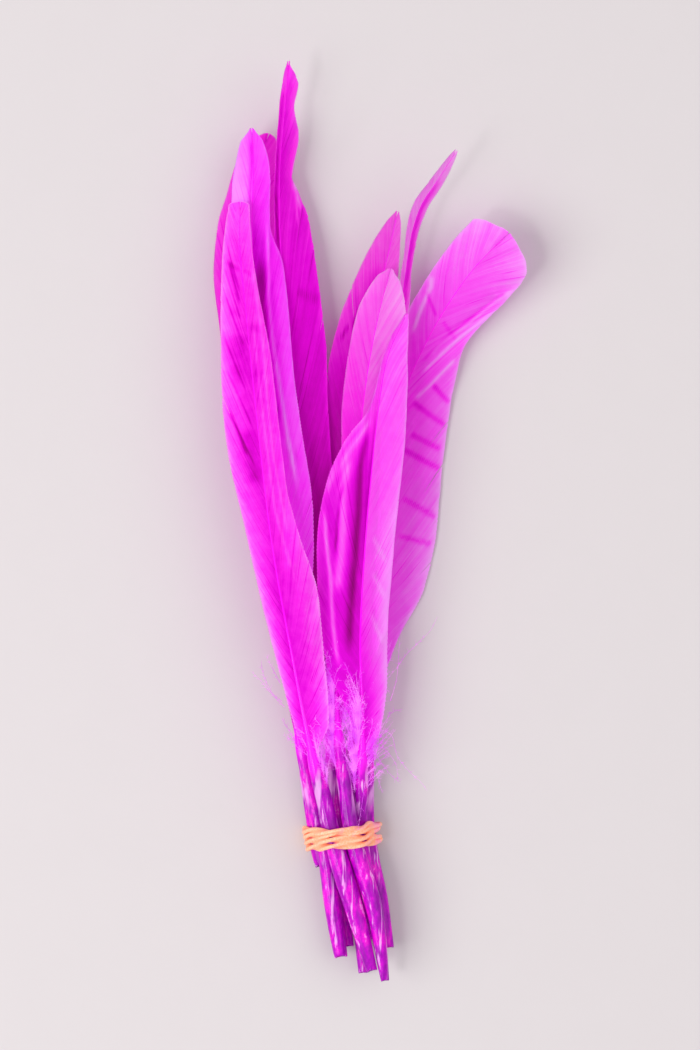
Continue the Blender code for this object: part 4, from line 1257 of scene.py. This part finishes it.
class Shader:
    """A new material and the nodes that make it."""

    def __init__(self, name):
        self.material = bpy.data.materials.new(name)
        self.material.use_nodes = True
        self.tree = self.material.node_tree
        self.surface = self.tree.nodes["Principled BSDF"]
        self.output = self.tree.nodes["Material Output"]

    def put(self, socket, value):
        if isinstance(value, Value):
            self.tree.links.new(value.socket, socket)
        elif socket.type == "RGBA":
            socket.default_value = (*value, 1.0)
        else:
            socket.default_value = value

    def node(self, kind, settings, *values, result=0, **named):
        """Adds one node with its settings and inputs, and gives the result asked for."""
        added = self.tree.nodes.new("ShaderNode" + kind)
        for key, value in settings.items():
            if key == "stops":
                set_stops(added.color_ramp, value)
            else:
                setattr(added, key, value)
        for k, value in enumerate(values):
            self.put(added.inputs[k], value)
        for key, value in named.items():
            self.put(added.inputs[key.replace("_", " ")], value)
        return Value(self, added.outputs[result])

    def attribute(self, name, result="Fac"):
        return self.node("Attribute", dict(attribute_name=name), result=result)

    def object_place(self):
        return self.node("TexCoord", {}, result="Object")

    def noise(self, vector, scale, detail, roughness, stretch=None):
        if stretch:
            vector = self.node("VectorMath", dict(operation="MULTIPLY"), vector, stretch)
        settings = dict(noise_dimensions="3D")
        return self.node("TexNoise", settings, Vector=vector, Scale=scale, Detail=detail,
                         Roughness=roughness)

    def blend(self, factor, first, second):
        """Goes from the first color to the second as factor goes from 0 to 1."""
        added = self.tree.nodes.new("ShaderNodeMix")
        added.data_type = "RGBA"
        for k, value in ((0, factor), (6, first), (7, second)):
            self.put(added.inputs[k], value)
        return Value(self, added.outputs[2])

    def ramp(self, factor, *stops):
        return self.node("ValToRGB", dict(stops=stops), factor)

    def bump(self, height, distance, strength=1.0):
        return self.node("Bump", {}, Height=height, Distance=distance, Strength=strength,
                         result="Normal")

    def set(self, **values):
        for key, value in values.items():
            self.put(self.surface.inputs[key.replace("_", " ")], value)

    def let_light_through(self, color, amount):
        """Mixes in light that passes through the thin sheet from its other side."""
        through = self.node("BsdfTranslucent", {}, color)
        mixed = self.node("MixShader", {}, amount, Value(self, self.surface.outputs[0]), through)
        self.tree.links.new(mixed.socket, self.output.inputs["Surface"])


def set_stops(ramp, stops):
    while len(ramp.elements) < len(stops):
        ramp.elements.new(0.5)
    for element, (place, color) in zip(ramp.elements, stops):
        element.position = place
        element.color = (*color, 1.0)


def toned(color, by):
    return tuple(channel * factor for channel, factor in zip(color, by))


def dye_stops(colors, warm, dull):
    """The ramp from deep to pale dye, towards pink as warm goes to 1, and greyer and darker as dull
    does, which paints the shade of feathers lying under others.
    """
    tint = (1.0 - 0.05 * (1 - warm) - 0.2 * dull, 1.0 + dull, 1.0 - 0.12 * warm - 0.2 * dull)
    return [(at, toned(getattr(colors, name), tint)) for at, name in DYE_STOPS]


def vane_material(name, colors, look):
    """Dyed barbs: dye strength along the vane, streaks along the barbs, fine ribs, painted shade in
    the grooves between barbs and a painted glow.
    """
    shader = Shader(name)
    place = shader.attribute("barb_place", "Vector")
    barb = shader.node("SeparateXYZ", {}, place)
    out = Value(shader, barb.socket.node.outputs["Y"])
    each = shader.node("TexWhiteNoise", dict(noise_dimensions="1D"), W=barb.math("FLOOR"))
    streak = shader.noise(place, *STREAKS)
    spots = shader.noise(shader.object_place(), *MOTTLE)
    fold = (barb.math("FRACT") - 0.5).math("ABSOLUTE") * 2.0
    dye = shader.attribute("dye")
    dye = dye + (each - 0.5) * BARB_SHADE + (streak - 0.5) * STREAK_SHADE
    dye = dye + (spots - 0.5) * (MOTTLE_SHADE * look.get("mottle", 1.0))
    # Painted shade: the dye is darkened in the grooves between barbs
    dye = dye - (fold - 0.4).math("MAXIMUM", 0.0) * BARB_GROOVE_PAINTED_SHADE
    color = shader.ramp(dye, *dye_stops(colors, look["warm"], look["dull"]))
    ribs = (out * RIBS_ACROSS + barb * 0.5).math("SINE") * 0.2
    height = (1.0 - fold) + ribs + (streak - 0.5) * 1.5
    shader.set(Base_Color=color, Roughness=0.48 + (streak - 0.5) * 0.3,
               Normal=shader.bump(height, 0.00003))
    # Painted glow of the dye, lifting the vane's shade
    shader.set(Specular_IOR_Level=0.06, Emission_Color=color, Emission_Strength=colors.painted_glow)
    shader.let_light_through(color, colors.light_through)
    return shader.material


def quill_material(colors):
    """Glossy horn: mottled dye, pale scuffed streaks and near the vanes pale patches of sheath,
    both partly painted highlights, bright dye on the shaft, a faint painted glow.
    """
    shader = Shader("dyed_quill")
    object_place = shader.object_place()
    part = shader.attribute("part")
    long_spots = shader.noise(object_place, *QUILL_SPOTS)
    flecks = shader.noise(object_place, *QUILL_FLECKS)
    clouds = shader.noise(object_place, *QUILL_CLOUDS)
    bare = shader.ramp(long_spots * 0.75 + clouds * 0.45 + flecks * 0.12,
                       (0.52, colors.quill_deep), (0.66, colors.quill_full),
                       (0.79, colors.quill_pink), (0.88, colors.quill_pale))
    shaft = shader.ramp(flecks * 0.3 + clouds * 0.7, (0.3, colors.full), (0.7, colors.shaft))
    feathered = part.past(*FEATHERED)
    # Pale streaks of scuffed horn that are also painted highlight streaks along the quills
    scuffs_and_highlights = shader.noise(object_place, *QUILL_SCUFFS_AND_HIGHLIGHTS).past(*SCUFFED_AND_HIGHLIGHTED)
    bare = shader.blend(scuffs_and_highlights, bare, colors.quill_pale)
    # Pale patches near the vanes: left-over sheath that also serves as painted glossy highlights
    sheath_and_highlights = shader.noise(object_place, *QUILL_SHEATH_AND_HIGHLIGHTS).past(*SHEATHED_AND_HIGHLIGHTED)
    bare = shader.blend(sheath_and_highlights * part.past(*NEAR_THE_VANES), bare, colors.quill_pale)
    color = shader.blend(feathered, bare, shaft)
    shader.set(Base_Color=color, Roughness=0.22 + long_spots * 0.22 + feathered * 0.15,
               Coat_Weight=((1.25 - part) * 4.0).clamped(0.3),
               Normal=shader.bump(long_spots + flecks * 0.5, 0.00004, 0.5))
    shader.set(Coat_Roughness=0.16, Specular_IOR_Level=0.03)
    # Painted glow, lifting the quills' shade
    shader.set(Emission_Color=color, Emission_Strength=QUILL_PAINTED_GLOW)
    return shader.material


def down_material(colors):
    """Fine dyed fibres, some pale and some violet, with a painted glow."""
    shader = Shader("dyed_down")
    clouds = shader.noise(shader.object_place(), *DOWN_CLOUDS)
    color = shader.ramp(clouds, (0.4, colors.down), (0.6, colors.pale))
    # The emission is a painted glow that lifts the down's shade
    shader.set(Base_Color=color, Roughness=0.6 + clouds * 0.2, Emission_Color=color)
    shader.set(Specular_IOR_Level=0.1, Emission_Strength=colors.painted_glow)
    shader.let_light_through(color, 0.4)
    return shader.material


def rubber_material(colors):
    """Matt cut rubber with painted shade between its strands, stained by the dye at one end, and a
    faint painted glow.
    """
    shader = Shader("rubber")
    object_place = shader.object_place()
    stain = shader.noise(object_place, *RUBBER_STAIN)
    powder = shader.noise(object_place, *RUBBER_POWDER)
    pale = (powder * 1.6 - 0.35).math("MINIMUM", 1.0)
    clean = shader.blend(pale, colors.rubber, colors.rubber_pale)
    # Painted shade in the grooves between the strands
    clean = shader.blend(shader.attribute("groove") * 0.42, clean, colors.rubber_groove_shade)
    sideways = shader.node("SeparateXYZ", {}, object_place)
    stained = (stain + (sideways - STAIN_FROM) * STAIN_RISE).past(*STAINED)
    color = shader.blend(stained * 0.8, clean, colors.rubber_stained)
    shader.set(Base_Color=color, Roughness=0.5 + powder * 0.2,
               Normal=shader.bump(powder, 0.00005, 0.5))
    # Painted glow, lifting the band's shade
    shader.set(Specular_IOR_Level=0.2, Emission_Color=color, Emission_Strength=RUBBER_PAINTED_GLOW)
    return shader.material


def floor_material(colors):
    """Smooth painted board with a barely uneven surface."""
    shader = Shader("pale_floor")
    grain = shader.noise(shader.object_place(), *FLOOR_GRAIN)
    color = shader.blend(grain, colors.floor, toned(colors.floor, (0.985, 0.985, 0.985)))
    shader.set(Base_Color=color, Roughness=0.7 + grain * 0.1,
               Normal=shader.bump(grain, 0.0003, 0.3))
    return shader.material


class FeatherSizes(bpy.types.PropertyGroup):
    """Sizes of the fine parts of the bunch."""

    barb_pitch: FloatProperty(
        name="Barb pitch", description="Distance between barbs along the shaft",
        default=0.0005, min=0.0003, max=0.002, unit="LENGTH", precision=5,
    )
    vane_thickness: FloatProperty(
        name="Vane thickness", description="Thickness of the sheet of barbs",
        default=0.00013, min=0.00005, max=0.0005, unit="LENGTH", precision=5,
    )
    down_thickness: FloatProperty(
        name="Down thickness", description="Thickness of a strand of down at its root",
        default=0.00012, min=0.00004, max=0.0004, unit="LENGTH", precision=5,
    )
    barbule_length: FloatProperty(
        name="Barbule length", description="Length of the side fibres of the down",
        default=0.0016, min=0.0004, max=0.004, unit="LENGTH", precision=4,
    )


def color_property(name, description, default):
    return FloatVectorProperty(
        name=name, description=description, default=default, min=0.0, max=1.0, subtype="COLOR",
    )


class FeatherColors(bpy.types.PropertyGroup):
    """Dyes and other colors of the bunch."""

    # Painted light and shade: deep stands for shade in the folds, dark for shaded barbs and bright
    # for lit barbs
    deep: color_property("Deep dye", "Darkest dye, in the folds", (0.32, 0.0003, 0.20))
    dark: color_property("Dark dye", "Dye of the shaded barbs", (0.56, 0.0005, 0.47))
    full: color_property("Full dye", "The dye at full strength", (0.82, 0.002, 0.79))
    bright: color_property("Bright dye", "Dye of the lit barbs", (0.93, 0.035, 0.88))
    light: color_property("Light dye", "Thin dye near the edges", (0.93, 0.15, 0.91))
    pale: color_property("Pale dye", "Thinnest dye, at edges and tips", (0.91, 0.40, 0.93))
    down: color_property("Down", "Loose fibres that took violet dye", (0.80, 0.14, 0.86))
    shaft: color_property("Shaft", "The shaft between the vanes", (0.82, 0.015, 0.70))
    quill_deep: color_property("Quill deep", "Deep mottling of the quills", (0.24, 0.0003, 0.30))
    quill_full: color_property("Quill", "Main dye of the quills", (0.42, 0.0008, 0.45))
    quill_pink: color_property("Quill pink", "Pink patches of the quills", (0.76, 0.006, 0.58))
    # Pale horn, also the colour of the painted highlights on the quills
    quill_pale: color_property("Quill pale", "Bare horn that took little dye", (0.82, 0.42, 0.80))
    rubber: color_property("Rubber", "The rubber band", (0.98, 0.34, 0.15))
    # Painted shade between two strands
    rubber_groove_shade: color_property("Deep rubber", "Rubber between two strands", (0.84, 0.15, 0.04))
    rubber_pale: color_property("Pale rubber", "Stretched, paler rubber", (0.98, 0.60, 0.46))
    rubber_stained: color_property("Stained rubber", "Rubber with dye on it", (0.92, 0.30, 0.50))
    floor: color_property("Floor", "The surface the bunch lies on", (0.585, 0.552, 0.56))
    # Painted glow: the dye shines by itself, which lifts the shade between and under the feathers
    painted_glow: FloatProperty(
        name="Dye glow", description="How strongly the fluorescent dye shines by itself",
        default=0.31, min=0.0, max=1.0,
    )
    light_through: FloatProperty(
        name="Light through", description="Part of the light that passes through a vane",
        default=0.6, min=0.0, max=1.0, subtype="FACTOR",
    )


class FeatherOperator:
    """What the operators share."""

    bl_options = {"REGISTER", "UNDO"}

    def feathers(self):
        return [Feather(row) for row in FEATHERS]


class FEATHERS_OT_vanes(FeatherOperator, bpy.types.Operator):
    """Make the vanes of all nine feathers"""

    bl_idname = "feathers.vanes"
    bl_label = "Vanes"

    def execute(self, context):
        scene = context.scene
        for feather in self.feathers():
            name = feather.name.replace("feather", "dyed_vane")
            material = vane_material(name, scene.feather_colors, feather.look)
            make_vane(feather, scene.feather_sizes, material)
        return {"FINISHED"}


class FEATHERS_OT_quills(FeatherOperator, bpy.types.Operator):
    """Make the quills and shafts of all nine feathers"""

    bl_idname = "feathers.quills"
    bl_label = "Quills"

    def execute(self, context):
        material = quill_material(context.scene.feather_colors)
        for feather in self.feathers():
            make_quill(feather, material)
        return {"FINISHED"}


class FEATHERS_OT_down(FeatherOperator, bpy.types.Operator):
    """Make the loose down at the foot of the vanes"""

    bl_idname = "feathers.down"
    bl_label = "Down"

    def execute(self, context):
        material = down_material(context.scene.feather_colors)
        for feather in self.feathers():
            make_down(feather, context.scene.feather_sizes, material)
        return {"FINISHED"}


class FEATHERS_OT_band(FeatherOperator, bpy.types.Operator):
    """Wind the rubber band round the quills"""

    bl_idname = "feathers.band"
    bl_label = "Rubber band"

    def execute(self, context):
        make_band(self.feathers(), rubber_material(context.scene.feather_colors))
        return {"FINISHED"}


class FEATHERS_OT_stage(bpy.types.Operator):
    """Set up the floor, the soft lights and the camera above the bunch"""

    bl_idname = "feathers.stage"
    bl_label = "Stage"

    def execute(self, context):
        make_floor(floor_material(context.scene.feather_colors))
        make_lights(context.scene)
        make_camera(context.scene)
        return {"FINISHED"}


class FEATHERS_PT_panel(bpy.types.Panel):
    """The pieces of the bunch, in the order they are made"""

    bl_idname = "FEATHERS_PT_panel"
    bl_label = "Goose feather bunch"
    bl_space_type = "VIEW_3D"
    bl_region_type = "UI"
    bl_category = "Feathers"

    def draw(self, context):
        layout = self.layout
        for operator in OPERATORS:
            layout.operator(operator.bl_idname)
        for group in (context.scene.feather_sizes, context.scene.feather_colors):
            box = layout.box()
            for name in group.__annotations__:
                box.prop(group, name)


def make_floor(material):
    bpy.ops.object.select_all(action="DESELECT")
    bpy.ops.mesh.primitive_plane_add(size=FLOOR_SIZE)
    floor = bpy.context.object
    floor.name = "floor"
    floor.data.materials.append(material)


def make_lights(scene):
    for name, place, size, power in LIGHTS:
        bpy.ops.object.light_add(type="AREA", location=place)
        light = bpy.context.object
        light.name = name
        light.data.shape = "DISK"
        light.data.size = size
        light.data.energy = power
        light.data.color = LIGHT_COLOR
        light.rotation_mode = "QUATERNION"
        light.rotation_quaternion = light.location.to_track_quat("Z", "Y")
    world = bpy.data.worlds.new("soft_room")
    world.use_nodes = True
    world.node_tree.nodes["Background"].inputs["Color"].default_value = (*ROOM_COLOR, 1.0)
    world.node_tree.nodes["Background"].inputs["Strength"].default_value = ROOM_STRENGTH
    scene.world = world
    scene.view_settings.view_transform = "Standard"


def make_camera(scene):
    """A camera straight above, framed on the whole bunch."""
    bpy.ops.object.camera_add(location=CAMERA_PLACE, rotation=(0, 0, 0))
    camera = bpy.context.object
    camera.name = "camera"
    camera.data.sensor_width = SENSOR
    camera.data.lens = SENSOR * CAMERA_PLACE[2] / VIEW_LENGTH
    camera.data.clip_end = FAR_END
    scene.camera = camera


OPERATORS = (
    FEATHERS_OT_quills,
    FEATHERS_OT_vanes,
    FEATHERS_OT_down,
    FEATHERS_OT_band,
    FEATHERS_OT_stage,
)
CLASSES = (FeatherSizes, FeatherColors, *OPERATORS, FEATHERS_PT_panel)


def register():
    for cls in CLASSES:
        bpy.utils.register_class(cls)
    bpy.types.Scene.feather_sizes = PointerProperty(type=FeatherSizes)
    bpy.types.Scene.feather_colors = PointerProperty(type=FeatherColors)


def unregister():
    del bpy.types.Scene.feather_colors
    del bpy.types.Scene.feather_sizes
    for cls in reversed(CLASSES):
        bpy.utils.unregister_class(cls)


def main():
    register()
    for name in ("quills", "vanes", "down", "band", "stage"):
        getattr(bpy.ops.feathers, name)()


if __name__ == "__main__":
    main()
